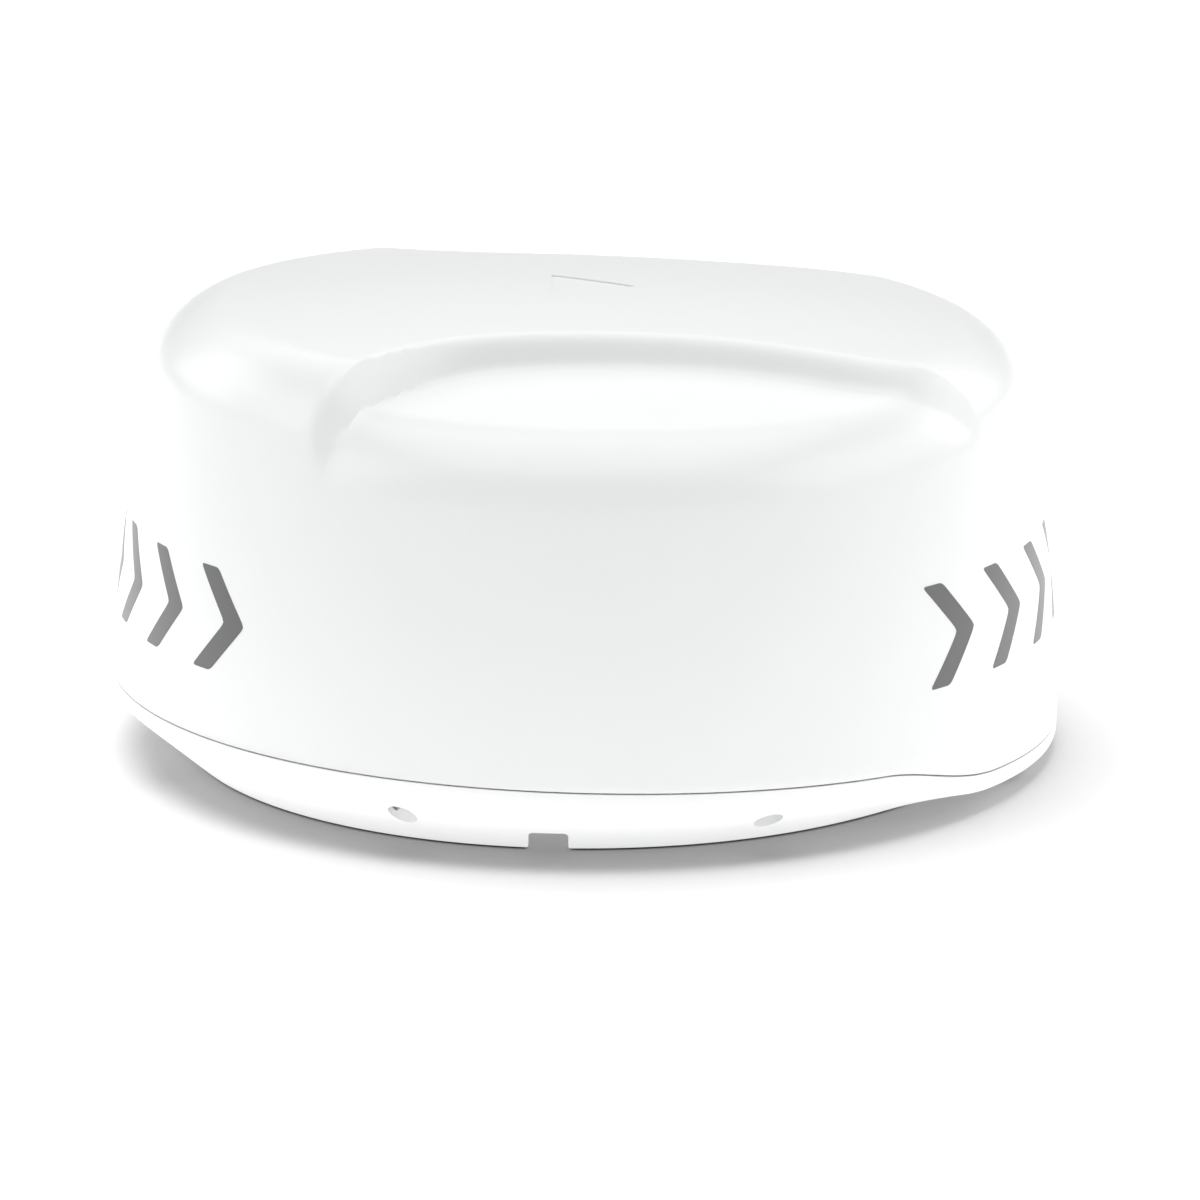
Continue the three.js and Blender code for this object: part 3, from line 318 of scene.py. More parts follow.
def partingHeight(x):
    along = np.maximum(0, (x + parting["reference"]) / parting["reference"])
    step = parting["step"] * smoothRise(parting["stepStart"], parting["stepEnd"], x)
    return parting["stern"] - parting["fall"] * along ** parting["power"] - step


def wallRadius(z):
    up = np.maximum(0, z - dome["rimHeight"])
    return dome["rim"] - dome["taper"] * up - dome["belly"] * up ** 2


def deckHeight(x, y):
    fall = dome["deckFall"] * x + dome["deckBow"] * x ** 2 + dome["deckTail"] * x ** 3
    return dome["deck"] - fall - dome["deckCrown"] * y ** 2


def roofHeight(x, y):
    # the deck, stepping down to the scooped shoulder outside the spine's edge
    deck = deckHeight(x, y)
    out = np.hypot(y, shoulder["softness"]) - shoulder["from"]
    fore = shoulder["foreFall"] * x + shoulder["foreBow"] * x ** 2
    low = shoulder["height"] - shoulder["slope"] * out - fore
    aft = x - spine["bend"]
    reach = np.hypot(aft, spine["softness"])
    flare = spine["flare"] * np.exp(-((x - spine["flareAt"]) / spine["flareLength"]) ** 2)
    edge = spine["halfWidth"] + spine["spread"] * (reach - aft) / 2 + flare
    bend = spine["spread"] * (aft / reach - 1) / 2
    splay = -2 * flare * (x - spine["flareAt"]) / spine["flareLength"] ** 2
    outside = (np.abs(y) - edge) / np.hypot(1, bend + splay)
    down = smoothRise(-spine["step"] / 4, spine["step"] * 3 / 4, outside)
    return deck - (deck - np.minimum(low, deck)) * down


def outsideShell(x, y, z, inset):
    # under nothing inside; roof and wall meet in a rolled corner
    roll = dome["corner"] - dome["cornerLoss"] * smoothRise(0, 220, x) - inset
    above = z - roofHeight(x, y) + inset
    beyond = np.hypot(x, y) - wallRadius(z) + inset
    plain = np.maximum(above, beyond)
    rolled = np.hypot(above + roll, beyond + roll) - roll
    return np.where((above < -roll) | (beyond < -roll), plain, rolled)


def shellGrid(rows, inset, bottom, angle):
    # points where lines that fan out from the dome's heart meet the shell, crown first
    share = np.linspace(0, 1, rows)[:, None]
    share = share + 0.5 * np.sin(share * tau) / tau
    lowest = np.arctan2(bottom - dome["heart"], wallRadius(bottom) - inset)[None, :]
    tilt = math.pi / 2 + (lowest - math.pi / 2) * share
    out, rise = np.cos(tilt), np.sin(tilt)
    near, far = np.zeros_like(tilt), np.full_like(tilt, dome["rim"] * 1.4)
    for _ in range(44):
        half = (near + far) / 2
        over = outsideShell(half * out * np.cos(angle), half * out * np.sin(angle),
                            dome["heart"] + half * rise, inset) > 0
        far, near = np.where(over, half, far), np.where(over, near, half)
    return np.stack([near * out * np.cos(angle), near * out * np.sin(angle), dome["heart"] + near * rise],
                    -1)


def rimRow(radius, rise, angle):
    # a ring that keeps its height above the parting line
    radius = np.full_like(angle, radius)
    return np.stack([radius * np.cos(angle), radius * np.sin(angle),
                     partingHeight(radius * np.cos(angle)) + rise], -1)


arrow = {"tail": -18.0, "tip": 27.5, "half": 26.7, "depth": 0.8, "round": 1.6}


def debossArrow(mesh):
    # the deck is cut along the arrow's edges and rounded corners, and the faces inside are let down
    work = bmesh.new()
    work.from_mesh(mesh)
    corners = [Vector((arrow["tip"], 0)), Vector((arrow["tail"], arrow["half"])),
               Vector((arrow["tail"], -arrow["half"]))]
    planes = []
    for index, corner in enumerate(corners):
        following, before = corners[(index + 1) % 3], corners[index - 1]
        side = (following - corner).normalized()
        outward = Vector((side.y, -side.x))
        planes.append((corner, outward))
        # the corner's circle touches both sides; three chords of it stand in for the arc
        back = (before - corner).normalized()
        bisector = (side + back).normalized()
        halfAngle = math.acos(max(-1, min(1, side.dot(back)))) / 2
        centre = corner + bisector * (arrow["round"] / math.sin(halfAngle))
        start = math.atan2(-bisector.y, -bisector.x)
        for turn in (-0.6, -0.2, 0.2, 0.6):
            angle = start + turn * (math.pi / 2 - halfAngle)
            normal = Vector((math.cos(angle), math.sin(angle)))
            planes.append((centre + normal * arrow["round"], normal))

    def inside(point):
        return all((point.xy / mm - place).dot(normal) < 1e-3 for place, normal in planes)

    reach = 60 * mm
    for place, normal in planes:
        near = [f for f in work.faces
                if f.calc_center_median().xy.length < reach and f.calc_center_median().z > 0.235]
        geometry = list({v for f in near for v in f.verts}) + list({e for f in near for e in f.edges}) + near
        bmesh.ops.bisect_plane(work, geom=geometry, plane_co=(place * mm).to_3d(), plane_no=normal.to_3d(),
                               dist=1e-7)
    floor = [f for f in work.faces if f.calc_center_median().z > 0.2395 and inside(f.calc_center_median())]
    lowered = bmesh.ops.extrude_face_region(work, geom=floor)
    if floor[0].is_valid:
        bmesh.ops.delete(work, geom=floor, context="FACES_ONLY")
    points = [item for item in lowered["geom"] if isinstance(item, bmesh.types.BMVert)]
    bmesh.ops.translate(work, verts=points, vec=(0, 0, -arrow["depth"] * mm))
    work.to_mesh(mesh)
    work.free()
    return mesh


def radomeMesh():
    angle = np.arange(dome["around"]) / dome["around"] * tau
    half = parting["gap"] / 2
    seat = lip["height"] + lip["gap"]
    top = seat + 4
    rimTop = partingHeight(dome["rim"] * np.cos(angle))
    outer = shellGrid(dome["outerRows"], 0, rimTop + half + 0.5, angle)
    foot = [(dome["rim"] - 0.1, half + 0.22), (dome["rim"] - 0.5, half), (dome["rim"] - base["land"], half),
            (lip["outer"] + 0.6, half), (lip["outer"] + 0.6, seat), (lip["inner"] - 1, seat),
            (lip["inner"] - 1, top)]
    rings = np.stack([rimRow(radius, rise, angle) for radius, rise in foot])
    inner = shellGrid(dome["innerRows"], dome["wall"], rimTop + top, angle)[::-1]
    rows = np.concatenate([outer[1:], rings, inner[:-1]])
    mesh = gridMesh("radomeShell", rows[::-1], poles=True)
    return debossArrow(mesh)


radomePiece = placeMesh("radomeShell", radomeMesh(), finishes["glossWhiteAsa"], "dome",
                        ["radome"], sharp=28)
print("radome", len(radomePiece.data.polygons))


def bend(start, control, end, count):
    # a quadratic curve from start to end that leans on the control point
    share = np.linspace(0, 1, count)[:, None]
    start, control, end = (np.asarray(p) for p in (start, control, end))
    return start * (1 - share) ** 2 + control * 2 * share * (1 - share) + end * share ** 2


def baseProfile(angle):
    # radius and height of the base's section at one bearing, from the hollow round the outside to the floor
    seam = float(partingHeight(dome["rim"] * math.cos(angle)))
    knee = dome["rim"] - base["inset"]
    slope = (seam - base["band"]) / (knee - base["foot"])

    def at(radius):
        return (radius - base["foot"]) * slope

    def rim(radius, rise):
        return radius, float(partingHeight(radius * math.cos(angle))) + rise

    inner = base["foot"] - base["footWidth"]
    half = parting["gap"] / 2
    outer, inside, groove, edge = lip["outer"], lip["inner"], lip["groove"], lip["edge"]
    high = lip["height"]
    steps = [
        [(r, base["recess"]) for r in (30, 60, 100, 140, 175, inner - 5)],
        bend((inner - 4, base["recess"]), (inner - 2, base["recess"]), (inner - 1.8, base["recess"] - 2),
             5),
        bend((inner - 0.3, 1.2), (inner, 0), (inner + 1, 0), 4),
        [(inner + 2.5, 0)],
        bend((base["foot"] - base["footRound"], 0), (base["foot"], 0),
             (base["foot"] + base["footRound"], at(base["foot"] + base["footRound"])), 7),
        [(r, at(r)) for r in np.linspace(base["foot"] + 6, knee - base["round"] - 2, 7)],
        bend((knee - base["round"], at(knee - base["round"])), (knee + 0.7, at(knee) + 0.5),
             (dome["rim"] - 0.3, at(knee) + base["round"]), 9),
        [(dome["rim"] - 0.1, at(knee) + base["round"] + 3)],
        bend((dome["rim"], seam - half - 0.5), (dome["rim"], seam - half), (dome["rim"] - 0.5, seam - half),
             4),
        [rim(dome["rim"] - base["land"] + 0.4, -half - base["landFall"]),
         rim(dome["rim"] - base["land"], -half - base["landFall"] - 0.4),
         (dome["rim"] - base["land"] - 0.8, at(dome["rim"] - base["land"] - 1) + base["moatWall"] + 1),
         (dome["rim"] - base["land"] - 2, at(dome["rim"] - base["land"] - 1) + base["moatWall"]),
         (outer + 1.2, at(outer) + base["moatWall"]), (outer, at(outer) + base["moatWall"] + 1.2)],
        [rim(outer, high - 0.4), rim(outer - 0.4, high), rim(outer - edge + 0.2, high),
         rim(outer - edge, high - 0.2),
         rim(outer - edge, high - groove + 0.2), rim(outer - edge - 0.2, high - groove),
         rim(inside + edge + 0.2, high - groove), rim(inside + edge, high - groove + 0.2),
         rim(inside + edge, high - 0.2), rim(inside + edge - 0.2, high), rim(inside + 0.4, high),
         rim(inside, high - 0.4)],
        bend((inside, base["floor"] + 4), (inside, base["floor"]), (inside - 4, base["floor"]), 6),
        [(r, base["floor"]) for r in (200, 160, 120, 80, 40)],
    ]
    return np.concatenate([np.asarray(step, float) for step in steps])


def cylinderMesh(radius, low, high, x, y, sides=64, edge=0.0):
    # a closed rod, with its rims eased by the edge
    e = max(edge, 1e-3)
    profile = [(0, low), (radius - e, low), (radius, low + e), (radius, high - e), (radius - e, high),
               (0, high)]
    return moved(turnedMesh("rod", profile, sides), x, y)


def blockMesh(size, centre, edge=0.0, segments=2):
    # a box with its edges rolled over
    work = bmesh.new()
    bmesh.ops.create_cube(work, size=1)
    bmesh.ops.scale(work, vec=Vector(size) * mm, verts=work.verts)
    bmesh.ops.translate(work, vec=Vector(centre) * mm, verts=work.verts)
    if edge:
        bmesh.ops.bevel(work, geom=work.edges[:], offset=edge * mm, segments=segments, profile=0.5,
                        affect="EDGES",
                        clamp_overlap=True)
    mesh = bpy.data.meshes.new("block")
    work.to_mesh(mesh)
    work.free()
    return mesh


def turnedTo(mesh, axis, angle):
    # the mesh turned about one of the frame's own axes
    mesh.transform(Matrix.Rotation(angle, 4, axis))
    return mesh


rimScrew = {"count": 8, "circle": 237, "counterbore": 7.2, "hole": 2.9, "seat": 10.5, "boss": 8}
mounting = {"across": 233, "foreAft": 141.5, "boss": 15, "hole": 5.9, "depth": 13.3}
notch = {"width": 20, "height": 13.2, "at": -18.5, "round": 2.6, "flare": 2.4, "depth": 22}
pocket = {"fore": -120, "aft": -202, "width": 90, "wall": 4, "ceiling": 40}
socket = {"hole": 8.3, "spread": 44, "height": 28}
post = {"radius": 6, "x": 88, "y": 116, "top": 23.7, "hole": 2.3, "depth": 7}
ventHole = {"radius": 5.3, "x": 150}
fourWays = [(1, 1), (-1, 1), (-1, -1), (1, -1)]


def rimScrewPlaces():
    angles = (np.arange(rimScrew["count"]) + 0.5) / rimScrew["count"] * tau
    return [(rimScrew["circle"] * math.cos(a), rimScrew["circle"] * math.sin(a),
             float(partingHeight(rimScrew["circle"] * math.cos(a)))) for a in angles]


def notchCutter(side):
    # the cable way's outline, rounded above and splayed at the foot, carried through the foot ring
    half, high, bendIn, flare = notch["width"] / 2, notch["height"], notch["round"], notch["flare"]
    quarter = np.linspace(0, math.pi / 2, 7)
    foot = np.stack([half + flare - flare * np.sin(quarter), flare - flare * np.cos(quarter)], -1)
    top = np.stack([half - bendIn + bendIn * np.cos(quarter), high - bendIn + bendIn * np.sin(quarter)], -1)
    right = np.concatenate([[(half + flare, -10)], foot, top])
    outline = np.concatenate([right, right[::-1] * (-1, 1)])
    ends = [side * base["foot"] - notch["depth"], side * base["foot"] + notch["depth"]]
    grid = np.stack([np.stack([outline[:, 0] + notch["at"], np.full(len(outline), y), outline[:, 1]],
                              -1) for y in ends])
    return facingOut(gridMesh("cableWay", grid, caps=True))


def baseMesh():
    angles = np.arange(dome["around"]) / dome["around"] * tau
    sections = np.stack([baseProfile(a) for a in angles], 1)
    grid = np.stack([sections[..., 0] * np.cos(angles), sections[..., 0] * np.sin(angles),
                     sections[..., 1]], -1)
    shell = gridMesh("baseShell", grid, poles=True)
    screws = rimScrewPlaces()
    mounts = [(f * mounting["foreAft"] / 2, p * mounting["across"] / 2) for f, p in fourWays]
    posts = [(f * post["x"], p * post["y"]) for f, p in fourWays]
    half = parting["gap"] / 2
    bosses = [cylinderMesh(rimScrew["boss"], seam - rimScrew["seat"],
                           float(partingHeight(x + rimScrew["boss"])) - half - 0.02, x, y) for x, y,
              seam in screws]
    bosses += [cylinderMesh(mounting["boss"], 0, base["floor"] - 1, x, y, edge=0.8) for x, y in mounts]
    bosses += [cylinderMesh(post["radius"], base["floor"] - 1, post["top"], x, y, edge=0.5) for x,
               y in posts]
    hub = moved(turnedMesh("hub", [(base["hub"], 1.4), (base["hub"] + 0.4, 1),
                                   (base["hub"] + base["rib"] - 0.4, 1),
                                   (base["hub"] + base["rib"], 1.4), (base["hub"] + base["rib"], 13),
                                   (base["hub"], 13)], 96))
    foot, start = base["foot"] - base["footWidth"], base["hub"] + 2
    ribs = []
    for index in range(base["ribs"]):
        rib = blockMesh((foot - 1 - start, base["rib"], base["recess"] - 2),
                        ((foot - 1 + start) / 2, 0, 3 + 5), 0.5)
        ribs.append(turnedTo(rib, "Z", (index + 0.5) / base["ribs"] * tau))
    long, middle = pocket["fore"] - pocket["aft"], (pocket["fore"] + pocket["aft"]) / 2
    wall, floor = pocket["wall"], base["floor"]
    roof = blockMesh((long + wall * 2, pocket["width"] + wall * 2, pocket["ceiling"] + wall - floor + 1),
                     (middle, 0, (pocket["ceiling"] + wall + floor - 1) / 2), 0.8)
    room = blockMesh((long, pocket["width"], pocket["ceiling"] + 20),
                     (middle, 0, (pocket["ceiling"] - 20) / 2), 1.2)
    recesses = [cylinderMesh(rimScrew["counterbore"], -20, seam - rimScrew["seat"], x, y) for x, y,
                seam in screws]
    bores = [cylinderMesh(rimScrew["hole"], seam - 12.5, seam + 8, x, y, 32) for x, y, seam in screws]
    bores += [cylinderMesh(mounting["hole"], -1, mounting["depth"], x, y, 48) for x, y in mounts]
    bores += [cylinderMesh(post["hole"], post["top"] - post["depth"], post["top"] + 5, x, y, 32) for x,
              y in posts]
    bores += [cylinderMesh(ventHole["radius"], 5, 30, ventHole["x"], 0, 48)]
    gates = []
    for side in (1, -1):
        hole = turnedTo(cylinderMesh(socket["hole"], -15, 15, 0, 0, 48), "Y", math.pi / 2)
        gates.append(moved(hole, pocket["fore"], side * socket["spread"] / 2, socket["height"]))
        gates.append(notchCutter(side))
    return worked(shell, [("UNION", joinedMesh("bosses", bosses)), ("UNION", hub),
                          ("UNION", joinedMesh("ribs", ribs)),
                          ("UNION", roof), ("DIFFERENCE", room),
                          ("DIFFERENCE", joinedMesh("recesses", recesses)),
                          ("DIFFERENCE", joinedMesh("bores", bores)),
                          ("DIFFERENCE", joinedMesh("gates", gates))])


basePiece = placeMesh("baseShell", baseMesh(), finishes["satinWhiteAsa"], "base",
                      ["base_housing"], sharp=30)
print("base", len(basePiece.data.polygons))


def gasketMesh():
    # a round-shouldered bead that stands in the groove and follows the parting line
    angle = np.arange(dome["around"]) / dome["around"] * tau
    low, high = lip["height"] - lip["groove"] + clearance, lip["height"] + lip["gap"] - clearance * 2
    left, right = lip["inner"] + lip["edge"] + clearance, lip["outer"] - lip["edge"] - clearance
    middle, halfWide = (left + right) / 2, (right - left) / 2
    section = [(left, low), (left, low + 0.8), (left + 0.3, high - 0.5), (middle - 0.35, high - 0.1),
               (middle, high),
               (middle + 0.35, high - 0.1), (right - 0.3, high - 0.5), (right, low + 0.8), (right, low),
               (middle + halfWide * 0.4, low + 0.2), (middle - halfWide * 0.4, low + 0.2)]
    return facingOut(gridMesh("rimSeal", np.stack([rimRow(r, z, angle) for r, z in section]),
                              wrapRows=True))


placeMesh("rimSeal", gasketMesh(), finishes["blackEpdm"], "base", ["rim_gasket"], sharp=40)

longScrew = {"head": 6, "height": 4, "shank": 2.5, "length": 18, "socket": 2.5, "depth": 2.2, "pitch": 0.8}


def screwMesh(look):
    # head down, shank up from nothing: a pan head with a hexagon socket, a plain neck and rolled threads
    head, height, shank, length = (look[key] for key in ("head", "height", "shank", "length"))
    socketSize, socketDepth, pitch = look["socket"], look["depth"], look["pitch"]
    sides = 30
    dish = [(0, -height + socketDepth + 0.5), (socketSize * 0.98, -height + socketDepth),
            (socketSize, -height + 0.25), (socketSize + 0.3, -height)]
    crown = bend((head * 0.6, -height), (head * 0.96, -height), (head, -height * 0.5), 5).tolist()
    under = [(head, -0.25), (head - 0.25, 0), (shank + 0.4, 0), (shank * 0.92, 0.4), (shank * 0.92, 2.4)]
    turns = int((length - 3.2) / pitch)
    thread = []
    for turn in range(turns):
        start = 2.6 + turn * pitch
        thread += [(shank, start), (shank, start + pitch * 0.2), (shank * 0.84, start + pitch * 0.55)]
    tipEnd = [(shank * 0.8, length - 0.5), (shank * 0.6, length), (0, length)]
    profile = np.asarray(dish + crown + under + thread + tipEnd, float)
    grid = turnedGrid(profile, sides)
    # the socket's wall is drawn out to a hexagon
    turn = np.arange(sides) / sides * tau
    hexagon = math.cos(math.pi / 6) / np.cos((turn + math.pi / 6) % (math.pi / 3) - math.pi / 6)
    for row in (1, 2):
        grid[row, :, :2] *= hexagon[:, None]
    return gridMesh("screw", grid[1:-1], poles=True)


for index, (x, y, seam) in enumerate(rimScrewPlaces()):
    made = moved(screwMesh(longScrew), x, y, seam - rimScrew["seat"] - clearance)
    placeMesh(f"rimScrew{index + 1}", facingOut(made), finishes["passivatedSteel"], "base",
              [f"dome_screw_{index + 1}"], sharp=35)
print("seal and rim screws")

chevrons = {"perSide": 4, "height": 52, "stroke": 15, "pitch": 51.5, "first": 26, "point": 24, "round": 2.2,
            "bent": 246, "bowMiddle": 99, "sternMiddle": 105, "film": 0.12}


def chevronMesh(axis, middle, offset, way):
    # an arrowhead stroke: a bar across the wall that leans out to a point half way up, with rounded ends
    half, corner, tall = chevrons["stroke"] / 2, chevrons["round"], chevrons["height"]
    turnIn = np.linspace(0, math.pi / 2, 6)
    ends = tall / 2 - corner * (1 - np.sin(turnIn))
    up = np.concatenate([-ends[::-1], np.linspace(-0.5, 0.5, 25)[1:-1] * (tall - corner * 2), ends])
    side = np.concatenate([(half - corner + corner * np.cos(turnIn))[::-1], np.full(23, half),
                           half - corner + corner * np.cos(turnIn)])
    across = np.linspace(-1, 1, 9)
    lean = chevrons["point"] * (0.5 - 2 * np.hypot(up, 1.2) / tall)
    flat = side[:, None] * across[None, :] + offset + way * lean[:, None]
    z = middle + up[:, None] + 0 * flat
    angle = axis + flat / chevrons["bent"]
    outer = wallRadius(z) + chevrons["film"]
    inner = wallRadius(z) + 0.02
    front = np.stack([outer * np.cos(angle), outer * np.sin(angle), z], -1)
    back = np.stack([inner * np.cos(angle), inner * np.sin(angle), z], -1)[:, ::-1]
    return facingOut(gridMesh("chevron", np.concatenate([front, back], 1), caps=True))


# every point shows the way to the bow, so the two sides mirror each other
for label, axis, middle, towardBow in (("Bow", 0.0, chevrons["bowMiddle"], -1),
                                       ("Stern", math.pi, chevrons["sternMiddle"], 1)):
    strokes = [chevronMesh(axis, middle, side * (chevrons["first"] + index * chevrons["pitch"]),
                           side * towardBow)
               for side in (1, -1) for index in range(chevrons["perSide"])]
    placeMesh(f"chevrons{label}", joinedMesh("chevrons", strokes), finishes["printedInk"], "dome",
              sharp=30)
print("chevrons")

bodies = frame["record"]["behaviour"]["bodies"]
bodyOf = {node: body for body, members in bodies.items() for node in members}


def standFor(node, name, mesh, finish, sharp=35):
    # a finer mesh takes the place of a solid from the frame, on the same body
    return placeMesh(name, mesh, finishes[finish], bodyOf[node], [node], sharp)


def addTo(body, name, mesh, finish, sharp=35):
    return placeMesh(name, mesh, finishes[finish], body, sharp=sharp)


def carried(node, finish, edge=0.4):
    # a solid whose shape is right keeps it, with its own finish and its corners broken
    piece = frame["nodes"][node]
    piece.material_slots[0].material = finishes[finish]
    weld = piece.modifiers.new("weld", "WELD")
    weld.merge_threshold = 1e-6
    flat = piece.modifiers.new("wholeFaces", "DECIMATE")
    flat.decimate_type, flat.angle_limit = "DISSOLVE", math.radians(0.5)
    corner = piece.modifiers.new("brokenEdge", "BEVEL")
    corner.width, corner.segments = edge * mm, 2
    corner.limit_method, corner.angle_limit = "ANGLE", math.radians(40)


def screwDown(size, x, y, z):
    # the same screw as on the rim, head up, with its seat at z
    return moved(turnedTo(facingOut(screwMesh(size)), "X", math.pi), x, y, z)


drive = {"deckTop": 27, "base": 66, "pitch": 4.8, "tooth": 1.2, "pitchLine": 0.4, "cheek": 2, "height": 12,
         "cheekRise": 1.6, "teeth": 48, "bore": 10.3}
pinion = {"teeth": 12, "x": 66, "y": -62, "bore": 2.8}
idler = {"radius": 13, "flange": 15, "x": 62, "y": -14, "bore": 4.3}
belt = {"thickness": 1.5, "width": 6.6, "snug": 0.3, "ridge": 0.25}
smallScrew = {"head": 4, "height": 2.4, "shank": 2, "length": 9, "socket": 1.4, "depth": 1.2, "pitch": 0.7}


def tipRadius(teeth):
    return teeth * drive["pitch"] / tau - drive["pitchLine"]


def toothedMesh(teeth, bore, x, y):
    # a turned section whose middle rows dip between teeth: tip radius less tooth depth times a
    # flat-topped wave
    tip, high, cheek = tipRadius(teeth), drive["height"], drive["cheek"]
    rim = tip + drive["cheekRise"]
    rows = [(bore, 0.3, 0), (bore + 0.3, 0, 0), (rim - 0.4, 0, 0), (rim, 0.4, 0), (rim, cheek - 0.6, 0),
            (tip + 0.1, cheek, 0), (tip, cheek, 1), (tip, high - cheek, 1), (tip + 0.1, high - cheek, 0),
            (rim, high - cheek + 0.6, 0), (rim, high - 0.4, 0), (rim - 0.4, high, 0), (bore + 0.3, high, 0),
            (bore, high - 0.3, 0)]
    turn = np.arange(teeth * 8) / (teeth * 8) * tau
    wave = drive["tooth"] * np.clip(0.5 - 1.6 * np.cos(teeth * turn), 0, 1)
    return facingOut(moved(tableMesh("toothed", rows, turn, wave), x, y, drive["base"]))


def beltMesh():
    # a ribbon section carried round three wheels: arcs joined by their outer tangents, ridged on the inside
    wheels = [(0, 0, tipRadius(drive["teeth"])), (pinion["x"], pinion["y"], tipRadius(pinion["teeth"])),
              (idler["x"], idler["y"], idler["radius"])]
    leave = []
    for index, (x, y, radius) in enumerate(wheels):
        nx, ny, nextRadius = wheels[(index + 1) % 3]
        lean = math.acos((radius - nextRadius) / math.hypot(nx - x, ny - y))
        leave.append(math.atan2(ny - y, nx - x) - lean)
    centre, normal = [], []
    for index, (x, y, radius) in enumerate(wheels):
        start, end = leave[index - 1], leave[index]
        while start > end:
            start -= tau
        turn = np.linspace(start, end, max(4, int((end - start) * radius / 0.6)))
        direction = np.stack([np.cos(turn), np.sin(turn)], -1)
        centre.append(np.array([x, y]) + direction * (radius + belt["snug"]))
        normal.append(direction)
        nx, ny, nextRadius = wheels[(index + 1) % 3]
        last = direction[-1]
        far = np.array([nx, ny]) + last * (nextRadius + belt["snug"])
        count = int(np.linalg.norm(far - centre[-1][-1]) / 0.6)
        share = np.linspace(0, 1, count)[1:-1, None]
        centre.append(centre[-1][-1] * (1 - share) + far * share)
        normal.append(np.repeat(last[None, :], len(share), 0))
    centre, normal = np.concatenate(centre), np.concatenate(normal)
    along = np.concatenate([[0], np.cumsum(np.linalg.norm(np.diff(centre, axis=0), axis=1))])
    teeth = round(along[-1] / drive["pitch"])
    ridge = belt["ridge"] * np.clip(1.4 * np.cos(along / along[-1] * teeth * tau), 0, 1)
    low = drive["base"] + (drive["height"] - belt["width"]) / 2
    high, thick = low + belt["width"], belt["thickness"]
    section = [(0, low + 0.2, 1), (0.2, low, 0), (thick - 0.3, low, 0), (thick, low + 0.3, 0),
               (thick, high - 0.3, 0), (thick - 0.3, high, 0), (0.2, high, 0), (0, high - 0.2, 1)]
    columns = [np.concatenate([centre + normal * (out - inward * ridge[:, None]),
                               np.full((len(centre), 1), z)], 1)
               for out, z, inward in section]
    return facingOut(gridMesh("belt", np.stack(columns, 1), wrapRows=True))


motor = {"half": 21, "corner": 5, "top": 58, "height": 30, "cap": 5, "boss": 11, "groove": 0.3,
         "sheets": 16}


def squareOutline(half, corner, z, steps=8):
    # a square with rounded corners, one point after another
    quarter = np.linspace(0, math.pi / 2, steps)
    turn = np.concatenate([quarter + index * math.pi / 2 for index in range(4)])
    sx = np.repeat([1, -1, -1, 1], steps) * (half - corner)
    sy = np.repeat([1, 1, -1, -1], steps) * (half - corner)
    return np.stack([sx + corner * np.cos(turn), sy + corner * np.sin(turn), np.full(len(turn), z)], -1)


def motorMesh():
    # stacked outlines: a cast cap below and above, and the grooved edges of the stator sheets between
    half, corner, top = motor["half"], motor["corner"], motor["top"]
    low, capTop, stackTop = top - motor["height"], top - motor["height"] + motor["cap"], top - motor["cap"]
    rows = [(1.6, low), (0.8, low + 0.8), (0.8, capTop - 0.4), (1.2, capTop)]
    step = (stackTop - capTop) / motor["sheets"]
    for sheet in range(motor["sheets"]):
        start = capTop + sheet * step
        rows += [(1.2 + motor["groove"], start + 0.1), (1.2, start + 0.3), (1.2, start + step - 0.1)]
    rows += [(0.8, stackTop + 0.3), (0.8, top - 0.8), (1.4, top)]
    rings = [squareOutline(half - inset, corner - inset * 0.5, z) for inset, z in rows]
    body = facingOut(gridMesh("motor", np.stack(rings), caps=True))
    boss = cylinderMesh(motor["boss"], top - 0.5, top + 2, 0, 0, 64, 0.5)
    plug = blockMesh((8, 16, 6), (0, -half + 2.5, low + 9), 0.6)
    return moved(joinedMesh("motor", [body, boss, plug]), pinion["x"], pinion["y"])


pedestal = {"flange": 44, "thick": 6, "radius": 25, "height": 37, "bore": 14, "seat": 17.8, "depth": 9.3}
bearing = {"outer": 17.5, "inner": 10.4, "height": 9, "balls": 12, "ball": 2.5}


def pedestalMesh():
    foot, top = drive["deckTop"] + clearance, pedestal["height"]
    seat, depth = pedestal["seat"], pedestal["depth"]
    radius, flange, thick = pedestal["radius"], pedestal["flange"], pedestal["thick"]
    sweep = bend((radius + 9, thick), (radius, thick), (radius, thick + 12), 9).tolist()
    profile = [(seat, 0.4), (seat + 0.4, 0), (flange - 0.8, 0), (flange, 0.8), (flange, thick - 1),
               (flange - 1, thick)]
    profile += sweep + [(radius, top - 1), (radius - 1, top), (seat + 0.5, top), (seat, top - 0.5),
                        (seat, top - depth),
                        (pedestal["bore"], top - depth), (pedestal["bore"], depth), (seat, depth)]
    return facingOut(moved(turnedMesh("pedestal", profile, 96), z=foot))


